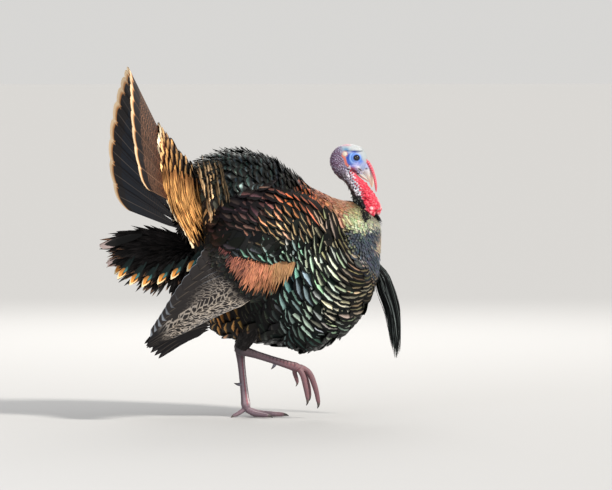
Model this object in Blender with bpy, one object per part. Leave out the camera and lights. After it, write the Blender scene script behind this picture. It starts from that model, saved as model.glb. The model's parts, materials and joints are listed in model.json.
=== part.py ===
# An adult male wild turkey in strut, life size, with its right foot lifted in mid-step.
# Metres, +Z up, bill towards +X, the bird's left side towards +Y. The shapes are first laid out with
# x = 0 at the standing heel, and the last step moves them so that the origin is the bottom centre.
import math

import bmesh
import bpy
from mathutils import Matrix, Vector
from mathutils.bvhtree import BVHTree

GAP = 0.0004  # clearance between pieces that meet

# Trunk sections from the rump to the feathered neck: top x, top z, low x, low z, half width.
TRUNK_STATIONS = [
    (-0.146, 0.540, -0.150, 0.430, 0.028),
    (-0.132, 0.588, -0.124, 0.318, 0.086),
    (-0.080, 0.612, -0.086, 0.204, 0.130),
    (-0.022, 0.617, -0.018, 0.180, 0.152),
    (0.035, 0.603, 0.060, 0.168, 0.161),
    (0.082, 0.575, 0.130, 0.151, 0.158),
    (0.122, 0.543, 0.209, 0.185, 0.146),
    (0.155, 0.523, 0.264, 0.251, 0.126),
    (0.182, 0.510, 0.294, 0.316, 0.104),
    (0.202, 0.503, 0.300, 0.370, 0.084),
    (0.215, 0.500, 0.302, 0.414, 0.066),
    (0.227, 0.500, 0.300, 0.444, 0.048),
    (0.242, 0.497, 0.290, 0.460, 0.030),
]
# Bare neck and head sections from the feathered rim to the bill: back x, z, front x, z, half width.
HEAD_STATIONS = [
    (0.2400, 0.4990, 0.2860, 0.4670, 0.0260),
    (0.2330, 0.5200, 0.2680, 0.4990, 0.0215),
    (0.2190, 0.5430, 0.2500, 0.5230, 0.0195),
    (0.2035, 0.5545, 0.2360, 0.5410, 0.0190),
    (0.1910, 0.5700, 0.2300, 0.5570, 0.0190),
    (0.1845, 0.5890, 0.2280, 0.5660, 0.0190),
    (0.1885, 0.6080, 0.2300, 0.5690, 0.0195),
    (0.2025, 0.6230, 0.2340, 0.5690, 0.0205),
    (0.2210, 0.6295, 0.2390, 0.5680, 0.0210),
    (0.2390, 0.6285, 0.2450, 0.5640, 0.0200),
    (0.2555, 0.6230, 0.2510, 0.5600, 0.0175),
    (0.2665, 0.6110, 0.2555, 0.5590, 0.0142),
    (0.2710, 0.5975, 0.2590, 0.5620, 0.0108),
]
TRUNK_END = 9.0  # where the trunk is parted from the feathered neck
HEAD_START = 4.6  # where the bare neck is parted from the head

EYE = Vector((0.2440, 0.0142, 0.5990))
EYE_RADIUS = 0.0072

TAIL_ROOT = Vector((-0.115, 0.0, 0.467))
TAIL_LEAN = math.radians(26)  # backwards from upright
TAIL_RADIUS = 0.382
TAIL_FEATHERS = 18
TAIL_HALF_SPREAD = math.radians(87)
TAIL_SWEEP = 0.362  # how far the side feathers sweep back, as a share of the radius
COVERT_RADIUS = 0.236
COVERT_HALF_SPREAD = math.radians(112)
UNDER_ROOT = Vector((-0.118, 0.0, 0.412))
UNDER_RADIUS = 0.232

HOCK = {"left": Vector((-0.022, 0.040, 0.164)), "right": Vector((-0.026, -0.052, 0.161))}
ANKLE = {"left": Vector((-0.008, 0.022, 0.024)), "right": Vector((0.107, -0.040, 0.118))}
SIDE = {"left": 1.0, "right": -1.0}

COLOURS = {
    "plumage_black": (0.03, 0.04, 0.035, 0.4, 0.2),
    "plumage_green": (0.10, 0.20, 0.15, 0.35, 0.5),
    "plumage_copper": (0.42, 0.19, 0.10, 0.45, 0.4),
    "plumage_tan": (0.75, 0.45, 0.20, 0.7, 0.0),
    "plumage_barred": (0.38, 0.35, 0.32, 0.7, 0.0),
    "plumage_tail": (0.28, 0.15, 0.08, 0.6, 0.0),
    "beard": (0.02, 0.02, 0.025, 0.5, 0.0),
    "skin_blue": (0.35, 0.42, 0.65, 0.5, 0.0),
    "skin_red": (0.75, 0.06, 0.10, 0.4, 0.0),
    "horn": (0.72, 0.64, 0.48, 0.4, 0.0),
    "claw": (0.10, 0.08, 0.07, 0.4, 0.0),
    "eye": (0.03, 0.02, 0.015, 0.05, 0.0),
    "leg": (0.50, 0.33, 0.36, 0.5, 0.0),
}


def clear_scene():
    for obj in list(bpy.data.objects):
        bpy.data.objects.remove(obj)


def material(name):
    found = bpy.data.materials.get(name)
    if found:
        return found
    red, green, blue, rough, metal = COLOURS[name]
    made = bpy.data.materials.new(name)
    made.use_nodes = True
    shader = made.node_tree.nodes["Principled BSDF"]
    shader.inputs["Base Color"].default_value = (red, green, blue, 1.0)
    shader.inputs["Roughness"].default_value = rough
    shader.inputs["Metallic"].default_value = metal
    return made


def add_object(name, mesh_data, finish):
    obj = bpy.data.objects.new(name, mesh_data)
    bpy.context.scene.collection.objects.link(obj)
    if finish:
        mesh_data.materials.append(material(finish))
    return obj


def spline(rows, t):
    # Catmull-Rom value at t, which runs from 0 at the first row to len(rows) - 1 at the last.
    i = max(0, min(int(t), len(rows) - 2))
    f = t - i
    near = [rows[max(0, min(len(rows) - 1, i + k))] for k in (-1, 0, 1, 2)]
    return [
        0.5 * (2 * q + (r - p) * f + (2 * p - 5 * q + 4 * r - s) * f * f + (3 * q - p - 3 * r + s) * f**3)
        for p, q, r, s in zip(*near)
    ]


def power(value, exponent):
    return math.copysign(abs(value) ** exponent, value)


def section_ring(row, sides, squareness=2.0):
    # A closed ring in the plane through the section's two ends and the Y axis, from its top or back end.
    top_x, top_z, low_x, low_z, half_width = row
    top, low = Vector((top_x, 0, top_z)), Vector((low_x, 0, low_z))
    middle, half = (top + low) / 2, (top - low) / 2
    ring = []
    for k in range(sides):
        turn = 2 * math.pi * k / sides
        up, out = power(math.cos(turn), 2 / squareness), power(math.sin(turn), 2 / squareness)
        ring.append(middle + half * up + Vector((0, half_width * out, 0)))
    return ring


def closed_mesh(name, points, faces):
    made = bpy.data.meshes.new(name)
    made.from_pydata([tuple(p) for p in points], [], faces)
    work = bmesh.new()
    work.from_mesh(made)
    bmesh.ops.remove_doubles(work, verts=work.verts, dist=1e-6)
    bmesh.ops.recalc_face_normals(work, faces=work.faces)
    bmesh.ops.triangulate(work, faces=work.faces)
    work.to_mesh(made)
    work.free()
    return made


def loft(name, rings, finish):
    # A closed solid through rings of equal length, with a pointed fan over each end.
    sides = len(rings[0])
    points = [p for ring in rings for p in ring]
    first = sum(rings[0], Vector()) / sides
    last = sum(rings[-1], Vector()) / sides
    points += [first, last]
    faces = []
    for i in range(len(rings) - 1):
        for k in range(sides):
            a, b = i * sides + k, i * sides + (k + 1) % sides
            faces.append((a, b, b + sides, a + sides))
    end = (len(rings) - 1) * sides
    for k in range(sides):
        faces.append((len(points) - 2, (k + 1) % sides, k))
        faces.append((len(points) - 1, end + k, end + (k + 1) % sides))
    return add_object(name, closed_mesh(name, points, faces), finish)


def shell(name, front, back, finish):
    # A closed sheet between two grids of points with the same rows and columns.
    rows, columns = len(front), len(front[0])
    points = [p for grid in (front, back) for row in grid for p in row]
    offset = rows * columns
    faces = []
    for i in range(rows - 1):
        for j in range(columns - 1):
            a = i * columns + j
            corner = (a, a + 1, a + columns + 1, a + columns)
            faces.append(corner)
            faces.append(tuple(offset + c for c in reversed(corner)))
    border = [(0, j) for j in range(columns)] + [(i, columns - 1) for i in range(1, rows)]
    border += [(rows - 1, j) for j in range(columns - 2, -1, -1)] + [(i, 0) for i in range(rows - 2, 0, -1)]
    loop = [i * columns + j for i, j in border]
    for a, b in zip(loop, loop[1:] + loop[:1]):
        faces.append((b, a, offset + a, offset + b))
    return add_object(name, closed_mesh(name, points, faces), finish)


def tube_rings(path, sizes, sides, floor=None):
    # Rings across a path. sizes holds (half depth in the path's upright plane, half width) for each point.
    rings = []
    for i, centre in enumerate(path):
        ahead = path[min(i + 1, len(path) - 1)] - path[max(i - 1, 0)]
        across = Vector((0, 1, 0)) if abs(ahead.normalized().y) < 0.85 else Vector((1, 0, 0))
        side = (across - ahead * across.dot(ahead) / ahead.length_squared).normalized()
        lift = side.cross(ahead).normalized()
        ring = []
        for k in range(sides):
            turn = 2 * math.pi * (k + 0.5) / sides
            point = centre + lift * math.cos(turn) * sizes[i][0] + side * math.sin(turn) * sizes[i][1]
            if floor is not None:
                point.z = max(point.z, floor)
            ring.append(point)
        rings.append(ring)
    return rings


def smooth_path(points, count):
    rows = [tuple(p) for p in points]
    return [Vector(spline(rows, (len(rows) - 1) * i / (count - 1))) for i in range(count)]


def smooth_sizes(sizes, count):
    return [spline(sizes, (len(sizes) - 1) * i / (count - 1)) for i in range(count)]


WHOLE = {}  # each cut piece's shape from before its first cut, which is what its neighbours are cut by


def grown_copy(obj):
    made = WHOLE.get(obj.name, obj.data).copy()
    work = bmesh.new()
    work.from_mesh(made)
    work.normal_update()
    moved = [(v, v.co + v.normal * GAP) for v in work.verts]
    for vertex, place in moved:
        vertex.co = place
    work.to_mesh(made)
    work.free()
    return add_object(obj.name + "_cutter", made, None)


def cut(obj, *others):
    # Takes each other piece, grown by the clearance, out of this one, and applies the result.
    WHOLE.setdefault(obj.name, obj.data.copy())
    for other in others:
        tool = grown_copy(other)
        step = obj.modifiers.new("Part", "BOOLEAN")
        step.operation = "DIFFERENCE"
        step.solver = "EXACT"
        step.object = tool
        bpy.context.view_layer.update()
        graph = bpy.context.evaluated_depsgraph_get()
        result = bpy.data.meshes.new_from_object(obj.evaluated_get(graph))
        obj.modifiers.clear()
        obj.data = result
        bpy.data.objects.remove(tool)
    keep_largest(obj)
    return obj


def keep_largest(obj):
    # A cut can leave crumbs on the far side of a neighbour. Only the main body stays.
    work = bmesh.new()
    work.from_mesh(obj.data)
    bmesh.ops.remove_doubles(work, verts=work.verts, dist=2e-6)
    bmesh.ops.dissolve_degenerate(work, edges=work.edges, dist=2e-6)
    left, groups = set(work.verts), []
    while left:
        seed = [left.pop()]
        group = set(seed)
        while seed:
            for edge in seed.pop().link_edges:
                for vertex in edge.verts:
                    if vertex in left:
                        left.discard(vertex)
                        group.add(vertex)
                        seed.append(vertex)
        groups.append(group)

    def spread(group):
        return sum((v.co - next(iter(group)).co).length for v in group)

    biggest = max(groups, key=spread)
    bmesh.ops.delete(work, geom=[v for v in work.verts if v not in biggest], context="VERTS")
    bmesh.ops.triangulate(work, faces=work.faces)
    work.to_mesh(obj.data)
    work.free()


def body_pieces():
    def rings(rows, start, end, steps, sides, squareness):
        return [
            section_ring(spline(rows, start + (end - start) * i / (steps - 1)), sides, squareness)
            for i in range(steps)
        ]

    last = len(TRUNK_STATIONS) - 1
    trunk = loft("trunk", rings(TRUNK_STATIONS, 0, TRUNK_END, 16, 22, 2.25), "plumage_black")
    collar = rings(TRUNK_STATIONS, TRUNK_END + 0.035, last, 7, 18, 2.1)
    neck_base = loft("neck_base", collar, "plumage_copper")
    end = len(HEAD_STATIONS) - 1
    neck = loft("neck", rings(HEAD_STATIONS, 0.15, HEAD_START, 9, 16, 2.0), "skin_red")
    head = loft("head", rings(HEAD_STATIONS, HEAD_START + 0.05, end, 12, 16, 2.1), "skin_blue")
    cut(neck, neck_base)
    return trunk, neck_base, neck, head


def eyes(head):
    made = []
    for side, sign in SIDE.items():
        work = bmesh.new()
        place = Matrix.Translation((EYE.x, EYE.y * sign, EYE.z)) @ Matrix.Rotation(math.pi / 2, 4, "X")
        bmesh.ops.create_uvsphere(work, u_segments=10, v_segments=7, radius=EYE_RADIUS, matrix=place)
        bmesh.ops.triangulate(work, faces=work.faces)
        data = bpy.data.meshes.new("eye_" + side)
        work.to_mesh(data)
        work.free()
        made.append(add_object("eye_" + side, data, "eye"))
    cut(head, *made)
    return made


def bill(head):
    # The upper bill hooks down over the lower one; both start inside the face and are cut by it.
    upper_rows = [
        (0.2630, 0.5945, 0.2520, 0.5690, 0.0105),
        (0.2700, 0.5850, 0.2590, 0.5640, 0.0095),
        (0.2775, 0.5710, 0.2665, 0.5575, 0.0080),
        (0.2832, 0.5560, 0.2725, 0.5485, 0.0061),
        (0.2850, 0.5410, 0.2768, 0.5385, 0.0042),
        (0.2822, 0.5305, 0.2802, 0.5302, 0.0014),
    ]
    lower_rows = [
        (0.2530, 0.5665, 0.2480, 0.5590, 0.0095),
        (0.2610, 0.5605, 0.2570, 0.5525, 0.0080),
        (0.2690, 0.5535, 0.2655, 0.5475, 0.0060),
        (0.2745, 0.5465, 0.2725, 0.5430, 0.0032),
    ]
    upper_rings = [section_ring(spline(upper_rows, 5 * i / 9), 12, 2.2) for i in range(10)]
    lower_rings = [section_ring(spline(lower_rows, 3 * i / 5), 10, 2.2) for i in range(6)]
    upper = loft("bill_upper", upper_rings, "horn")
    lower = loft("bill_lower", lower_rings, "horn")
    cut(upper, head)
    cut(lower, head, upper)
    return upper, lower


def snood(head, upper_bill):
    path = smooth_path(
        [(0.2600, 0, 0.5935), (0.2705, -0.0010, 0.5885), (0.2795, -0.0045, 0.5740), (0.2845, -0.0100, 0.5590),
         (0.2878, -0.0120, 0.5440), (0.2895, -0.0125, 0.5310), (0.2897, -0.0125, 0.5200)], 10)
    sizes = smooth_sizes([(0.0044, 0.0054), (0.0044, 0.0050), (0.0038, 0.0044), (0.0035, 0.0038),
                          (0.0033, 0.0036), (0.0028, 0.0030), (0.0012, 0.0014)], 10)
    made = loft("snood", tube_rings(path, sizes, 8), "skin_red")
    return cut(made, head, upper_bill)


def wattle(*neighbours):
    # The red caruncles: a swollen strip down the throat that ends in a bulging lobe.
    rows = [
        (0.2285, 0.5640, 0.2380, 0.5645, 0.0090),
        (0.2320, 0.5490, 0.2510, 0.5555, 0.0170),
        (0.2420, 0.5270, 0.2675, 0.5375, 0.0195),
        (0.2530, 0.5080, 0.2815, 0.5185, 0.0220),
        (0.2610, 0.4890, 0.2935, 0.5000, 0.0250),
        (0.2660, 0.4720, 0.3000, 0.4840, 0.0250),
        (0.2740, 0.4610, 0.2950, 0.4690, 0.0150),
    ]
    made = loft("wattle", [section_ring(spline(rows, 6 * i / 9), 12, 2.0) for i in range(10)], "skin_red")
    return cut(made, *neighbours)


def beard(trunk, neck_base):
    path = smooth_path(
        [(0.272, 0, 0.362), (0.300, 0, 0.330), (0.313, 0, 0.294), (0.327, 0, 0.253), (0.336, 0, 0.214),
         (0.340, 0, 0.179), (0.339, 0, 0.156), (0.338, 0, 0.134)], 12)
    sizes = smooth_sizes([(0.006, 0.010), (0.013, 0.013), (0.0175, 0.013), (0.0165, 0.012), (0.014, 0.011),
                          (0.011, 0.009), (0.007, 0.006), (0.0015, 0.0015)], 12)
    made = loft("beard", tube_rings(path, sizes, 12), "beard")
    return cut(made, trunk, neck_base)


def surface_finder(obj):
    # Half width of a piece where a line across the bird at x, z meets it, or None where it misses.
    work = bmesh.new()
    work.from_mesh(obj.data)
    tree = BVHTree.FromBMesh(work)
    work.free()

    def half_width(x, z):
        hit = tree.ray_cast(Vector((x, 1.0, z)), Vector((0, -1, 0)))[0]
        return hit.y if hit else None

    return half_width


def eased(value):
    value = max(0.0, min(1.0, value))
    return value * value * (3 - 2 * value)


def side_width(half_width, x, z):
    # The body's half width, held up near and past its outline by a plane, so that a wing stands clear there.
    body = half_width(x, z) or 0.0
    plane = 0.158 + 0.02 * eased((x + 0.27) / 0.20)
    hold = eased((0.060 - x) / 0.05) * eased((0.43 - z) / 0.06)
    return body + max(0.0, plane - body) * hold


def lens(name, sign, half_width, centre, size, tilt, bulge, rim, finish):
    # A rounded pad on the body's side, thick in the middle and thin at its rim.
    turns, steps, sunk = 16, 3, 0.012
    outer, inner = [], []
    for i in range(steps + 1):
        share = i / steps
        outer_row, inner_row = [], []
        for k in range(turns + 1):
            turn = 2 * math.pi * k / turns
            along, across = share * size[0] * math.cos(turn), share * size[1] * math.sin(turn)
            x = centre[0] + along * math.cos(tilt) - across * math.sin(tilt)
            z = centre[1] + along * math.sin(tilt) + across * math.cos(tilt)
            y = side_width(half_width, x, z)
            outer_row.append(Vector((x, sign * (y + rim + bulge * math.sqrt(1 - share * share)), z)))
            inner_row.append(Vector((x, sign * (y - sunk), z)))
        outer.append(outer_row)
        inner.append(inner_row)
    points = [outer[0][0]] + [p for row in outer[1:] for p in row[:-1]]
    points += [inner[0][0]] + [p for row in inner[1:] for p in row[:-1]]
    half = 1 + steps * turns
    faces = []
    for base in (0, half):
        for k in range(turns):
            faces.append((base, base + 1 + k, base + 1 + (k + 1) % turns))
            for i in range(steps - 1):
                a = base + 1 + i * turns
                faces.append((a + k, a + turns + k, a + turns + (k + 1) % turns, a + (k + 1) % turns))
    rim_start = 1 + (steps - 1) * turns
    for k in range(turns):
        a, b = rim_start + k, rim_start + (k + 1) % turns
        faces.append((a, b, b + half, a + half))
    return add_object(name, closed_mesh(name, points, faces), finish)


# Flight feathers from the lowest, outermost primary to the innermost secondary: root x, z, then tip x, z.
BLADE_ROWS = [
    (0.000, 0.280, -0.162, 0.195),
    (0.006, 0.293, -0.228, 0.163),
    (0.004, 0.308, -0.252, 0.178),
    (-0.014, 0.327, -0.234, 0.227),
    (-0.040, 0.350, -0.192, 0.288),
    (-0.072, 0.376, -0.130, 0.378),
]
PRIMARY_SHARE = 2.4  # rows of BLADE_ROWS that are primaries
# The folded wing and the patch of coverts under it: x, z of the middle, and the half sizes.
WING_CENTRE, WING_SIZE = (0.036, 0.443), (0.152, 0.088)
COVERTS_CENTRE, COVERTS_SIZE = (0.001, 0.329), (0.092, 0.047)
LEFT_WING_SHIFT = (0.060, -0.020)  # the left wing is held a little further forward and lower


def blade(name, sign, half_width, start, end, shift, finish):
    # A thin sheet of overlapping flight feathers, saw-toothed along its tips.
    across, along = 11, 4
    outer, inner = [], []
    for i in range(across):
        at = start + (end - start) * i / (across - 1)
        root_x, root_z, tip_x, tip_z = spline(BLADE_ROWS, at)
        tooth = 0.985 if i % 2 else 1.0
        outer_row, inner_row = [], []
        for j in range(along):
            share = tooth * j / (along - 1)
            x = root_x + (tip_x + shift[0] - root_x) * share
            z = root_z + (tip_z + shift[1] - root_z) * share + 0.010 * math.sin(math.pi * share)
            y = side_width(half_width, x, z) + 0.004
            thick = 0.010 * (1 - share) + 0.003
            outer_row.append(Vector((x, sign * y, z)))
            inner_row.append(Vector((x, sign * (y - thick), z)))
        outer.append(outer_row)
        inner.append(inner_row)
    return shell(name, outer, inner, finish)


def wings(trunk, neck_base):
    half_width = surface_finder(trunk)
    last = len(BLADE_ROWS) - 1
    for side, sign in SIDE.items():
        shift = LEFT_WING_SHIFT if side == "left" else (0.0, 0.0)
        place = (sign, half_width)
        upper = lens("wing_" + side, *place, WING_CENTRE, WING_SIZE, 0.18, 0.022, 0.003, "plumage_green")
        cut(upper, trunk, neck_base)
        patch = (COVERTS_CENTRE, COVERTS_SIZE)
        fore = lens("wing_coverts_" + side, *place, *patch, -0.20, 0.006, 0.006, "plumage_copper")
        cut(fore, trunk, upper)
        outer_end, inner_start = PRIMARY_SHARE - 0.012, PRIMARY_SHARE + 0.012
        primaries = blade("primaries_" + side, *place, 0, outer_end, shift, "plumage_barred")
        cut(primaries, trunk, fore, upper)
        secondaries = blade("secondaries_" + side, *place, inner_start, last, shift, "plumage_barred")
        cut(secondaries, trunk, fore, upper)


def fan_point(radius, angle, forward=0.0):
    # A point on the dished tail fan. Angle 0 is the upright middle feather, positive to the bird's left.
    up = Vector((-math.sin(TAIL_LEAN), 0, math.cos(TAIL_LEAN)))
    back = Vector((-math.cos(TAIL_LEAN), 0, -math.sin(TAIL_LEAN)))
    sweep = TAIL_SWEEP * math.sin(min(abs(angle), math.pi / 2)) ** 2.17
    side = Vector((0, 0.93 * math.sin(angle), 0))
    flat = radius * (up * math.cos(angle) + side + Vector((-sweep, 0, 0))) - back * forward
    return TAIL_ROOT + flat


def tail_fan():
    # Overlapping tail feathers read as one dish with a rounded scallop for each feather.
    per_feather, rings, thick = 3, 4, 0.0032
    columns = TAIL_FEATHERS * per_feather
    front, back = [], []
    for i in range(columns + 1):
        share = i / columns
        angle = (2 * share - 1) * TAIL_HALF_SPREAD
        within = (i % per_feather) / per_feather
        scallop = 0.009 * (1 - math.sin(math.pi * within))
        radius = TAIL_RADIUS - scallop
        front_row, back_row = [], []
        for j in range(rings):
            r = 0.050 + (radius - 0.050) * j / (rings - 1)
            front_row.append(fan_point(r, angle, thick / 2))
            back_row.append(fan_point(r, angle, -thick / 2))
        front.append(front_row)
        back.append(back_row)
    return shell("tail_fan", front, back, "plumage_tail")


def upper_coverts(tail, trunk):
    # The tan-tipped coverts flare from the rump to a second, smaller fan in front of the tail.
    columns, lip = 24, 0.0038
    profile = [(0.055, 0.006), (0.55, lip), (1.0, lip), (0.99, 0.009)]
    profile += [(0.74, 0.017), (0.52, 0.034), (0.055, 0.110)]
    rows = []
    for i in range(columns + 1):
        angle = (2 * i / columns - 1) * COVERT_HALF_SPREAD
        lobe = 0.006 * (i % 2)
        radius = COVERT_RADIUS * (1 - 0.22 * eased((abs(angle) - 0.9) / 1.2)) - lobe
        rows.append([fan_point(max(0.055, share * radius), angle, forward) for share, forward in profile])
    sides = len(profile)
    points = [p for row in rows for p in row]
    faces = []
    for i in range(columns):
        for k in range(sides):
            a, b = i * sides + k, i * sides + (k + 1) % sides
            faces.append((a, b, b + sides, a + sides))
    faces.append(tuple(range(sides)))
    faces.append(tuple(columns * sides + k for k in reversed(range(sides))))
    made = add_object("tail_coverts_upper", closed_mesh("tail_coverts_upper", points, faces), "plumage_tan")
    return cut(made, trunk, tail, bpy.data.objects["wing_left"], bpy.data.objects["wing_right"])


def under_coverts(*neighbours):
    # The black coverts under the tail spread backwards in an arch whose sides droop.
    columns, rings = 22, 4
    outer, inner = [], []
    for i in range(columns + 1):
        turn = (2 * i / columns - 1) * math.radians(84)
        lobe = 0.010 * (i % 2)
        drop = 0.56 * math.sin(min(math.pi / 2, 1.35 * abs(turn)))
        ahead = Vector((-math.cos(turn), 0.80 * math.sin(turn), -drop))
        outer_row, inner_row = [], []
        for j in range(rings):
            share = j / (rings - 1)
            reach = 0.012 + (UNDER_RADIUS - lobe - 0.012) * share
            rise = Vector((0, 0, 0.030 * math.sin(math.pi * share)))
            place = UNDER_ROOT + ahead * reach + rise
            thick = 0.034 * (1 - share) + 0.004
            outer_row.append(place)
            inner_row.append(place - Vector((0, 0, thick)))
        outer.append(outer_row)
        inner.append(inner_row)
    made = shell("tail_coverts_under", outer, inner, "plumage_black")
    return cut(made, *neighbours)


def thigh(side, trunk, tarsus):
    hock = HOCK[side]
    root = Vector((hock.x + 0.036, hock.y * 1.4, 0.250))
    path = smooth_path([root, root.lerp(hock, 0.5), hock.lerp(root, 0.08)], 7)
    sizes = smooth_sizes([(0.052, 0.042), (0.044, 0.036), (0.0150, 0.013)], 7)
    made = loft("thigh_" + side, tube_rings(path, sizes, 12), "plumage_black")
    return cut(made, trunk, tarsus)


def tarsus(side):
    hock, ankle = HOCK[side], ANKLE[side]
    onward = (ankle - hock).normalized()
    between = [hock.lerp(ankle, share) for share in (0.0, 0.10, 0.30, 0.60, 0.86, 0.96)]
    path = [hock - onward * 0.012, *between, ankle + onward * 0.006]
    sizes = [(0.0070, 0.0060), (0.0125, 0.0105), (0.0112, 0.0090), (0.0090, 0.0072), (0.0088, 0.0070),
             (0.0098, 0.0090), (0.0108, 0.0120), (0.0080, 0.0090)]
    return loft("tarsus_" + side, tube_rings(path, sizes, 12), "leg")


def spur(side, shank):
    hock, ankle = HOCK[side], ANKLE[side]
    onward = (ankle - hock).normalized()
    start = hock.lerp(ankle, 0.62)
    back = Vector((0, 1, 0)).cross(onward)
    wrong_way = back.z >= 0 if side == "right" else back.x >= 0
    back = -back if wrong_way else back
    inward = Vector((0, -SIDE[side], 0))
    out = (back + inward * 0.35).normalized()
    curve = ((0.003, 0), (0.010, 0.0005), (0.0165, -0.001), (0.0235, -0.004))
    path = [start + out * reach + onward * bend for reach, bend in curve]
    sizes = [(0.0048, 0.0048), (0.0042, 0.0040), (0.0028, 0.0027), (0.0007, 0.0007)]
    made = loft("spur_" + side, tube_rings(path, sizes, 8), "claw")
    return cut(made, shank)


STANDING_TOES = {
    # heading in degrees from +X towards the outer side, length, half width at the root
    "middle": (2, 0.084, 0.0062),
    "inner": (-38, 0.060, 0.0056),
    "outer": (40, 0.064, 0.0056),
    "hind": (196, 0.030, 0.0046),
}
LIFTED_TOES = {
    # offsets from the ankle along the hanging toe: (x, outward, z)
    "middle": [(0.004, 0.0, 0.002), (0.026, 0.0, -0.012), (0.040, 0.001, -0.045), (0.0475, 0.001, -0.078)],
    "outer": [(0.002, 0.010, -0.002), (0.011, 0.013, -0.018), (0.017, 0.016, -0.044), (0.0215, 0.017, -0.070)],
    "inner": [(0.002, -0.010, -0.002), (0.016, -0.014, -0.018), (0.025, -0.018, -0.042), (0.029, -0.019, -0.064)],
    "hind": [(-0.007, -0.006, -0.004), (-0.006, -0.010, -0.014), (-0.002, -0.012, -0.026), (0.0, -0.012, -0.034)],
}


def toe_path(side, which):
    sign, ankle = SIDE[side], ANKLE[side]
    if side == "right":
        return [ankle + Vector((x, sign * out, z)) for x, out, z in LIFTED_TOES[which]]
    heading, length, _ = STANDING_TOES[which]
    turn = math.radians(heading)
    ahead = Vector((math.cos(turn), sign * math.sin(turn), 0))
    heel = Vector((ankle.x, ankle.y, 0))
    heights = (0.017, 0.0095, 0.0072, 0.0062) if which != "hind" else (0.020, 0.014, 0.008, 0.0048)
    shares = (0.06, 0.36, 0.70, 1.0)
    return [heel + ahead * length * share + Vector((0, 0, z)) for share, z in zip(shares, heights)]


def toe_and_claw(side, which, neighbours):
    width = STANDING_TOES[which][2]
    path = smooth_path(toe_path(side, which), 6)
    sizes = smooth_sizes([(width * 1.05, width * 1.1), (width, width), (width * 0.86, width * 0.88),
                          (width * 0.66, width * 0.66)], 6)
    floor = 0.0 if side == "left" else None
    toe = loft(f"toe_{side}_{which}", tube_rings(path, sizes, 8, floor), "leg")
    cut(toe, *neighbours)
    ahead = (path[-1] - path[-2]).normalized()
    down = Vector((0, 1, 0)).cross(ahead).normalized()
    wrong_way = down.x >= 0 if side == "right" else down.z >= 0
    down = -down if wrong_way else down
    reach = 0.0165 if which != "hind" else 0.010
    tip = path[-1] + ahead * (GAP + 0.0002)
    end = sizes[-1][0]
    drop = 0.0035 if side == "left" else 0.006
    points = [tip, tip + ahead * reach * 0.40 + down * drop * 0.1, tip + ahead * reach * 0.75 + down * drop * 0.45,
              tip + ahead * reach + down * drop]
    widths = [(end * 0.86, end * 0.74), (end * 0.72, end * 0.60), (end * 0.44, end * 0.36), (0.0006, 0.0006)]
    loft(f"claw_{side}_{which}", tube_rings(points, widths, 6, floor), "claw")
    return toe


def legs(trunk):
    for side in SIDE:
        shank = tarsus(side)
        cut(shank, trunk)
        thigh(side, trunk, shank)
        spur(side, shank)
        neighbours = [shank]
        for which in STANDING_TOES:
            neighbours.append(toe_and_claw(side, which, neighbours))


def centre_on_base():
    # Moves everything so that the origin is the middle of the box's bottom face.
    shown = [o for o in bpy.data.objects if o.type == "MESH"]
    corners = [v.co for o in shown for v in o.data.vertices]
    low = Vector([min(c[k] for c in corners) for k in range(3)])
    high = Vector([max(c[k] for c in corners) for k in range(3)])
    shift = Matrix.Translation((-(low.x + high.x) / 2, -(low.y + high.y) / 2, -low.z))
    for obj in shown:
        obj.data.transform(shift)
        obj.data.shade_smooth()
        obj.data.set_sharp_from_angle(angle=math.radians(40))


def main():
    clear_scene()
    trunk, neck_base, neck, head = body_pieces()
    eyes(head)
    upper_bill, lower_bill = bill(head)
    snood(head, upper_bill)
    wattle(neck, head, neck_base, lower_bill)
    beard(trunk, neck_base)
    wings(trunk, neck_base)
    tail = tail_fan()
    cut(tail, trunk)
    coverts = upper_coverts(tail, trunk)
    flight = [bpy.data.objects["secondaries_" + side] for side in SIDE]
    under_coverts(trunk, tail, coverts, *flight)
    legs(trunk)
    centre_on_base()


main()
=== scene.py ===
# A wild turkey gobbler in full strut, finished feather by feather round its fixed solid parts.
# Positions are laid out with x = 0 at the standing heel, and settle() shifts each finished piece to the
# frame.
import json
import math

import bmesh
import bpy
import numpy as np
from mathutils import Matrix, Vector
from mathutils.bvhtree import BVHTree
from mathutils.kdtree import KDTree

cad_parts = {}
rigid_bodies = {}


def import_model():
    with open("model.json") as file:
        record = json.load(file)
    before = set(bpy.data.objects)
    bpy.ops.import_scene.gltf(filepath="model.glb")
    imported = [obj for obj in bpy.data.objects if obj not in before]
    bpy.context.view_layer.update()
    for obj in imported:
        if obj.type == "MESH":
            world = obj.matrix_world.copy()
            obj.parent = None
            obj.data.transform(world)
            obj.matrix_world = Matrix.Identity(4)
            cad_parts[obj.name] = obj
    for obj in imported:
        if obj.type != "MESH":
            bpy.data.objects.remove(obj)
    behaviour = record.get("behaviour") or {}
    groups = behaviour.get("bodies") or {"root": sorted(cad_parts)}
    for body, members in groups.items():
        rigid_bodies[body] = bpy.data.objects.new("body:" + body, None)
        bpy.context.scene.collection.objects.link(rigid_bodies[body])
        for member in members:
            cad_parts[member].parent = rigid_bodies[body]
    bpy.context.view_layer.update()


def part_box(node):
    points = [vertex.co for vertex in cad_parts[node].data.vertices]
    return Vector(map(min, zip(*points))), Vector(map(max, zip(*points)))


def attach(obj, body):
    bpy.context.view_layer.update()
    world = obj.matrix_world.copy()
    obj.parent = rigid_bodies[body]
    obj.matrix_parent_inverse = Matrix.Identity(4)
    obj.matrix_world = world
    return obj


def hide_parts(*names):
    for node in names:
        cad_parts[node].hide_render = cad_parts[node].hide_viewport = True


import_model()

eyeAt = (0.244, 0.0142, 0.599)
eyeLow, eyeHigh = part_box("eye_left")
rowShift = (eyeLow.x + eyeHigh.x) / 2 - eyeAt[0]
sides = {"left": 1.0, "right": -1.0}


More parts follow.
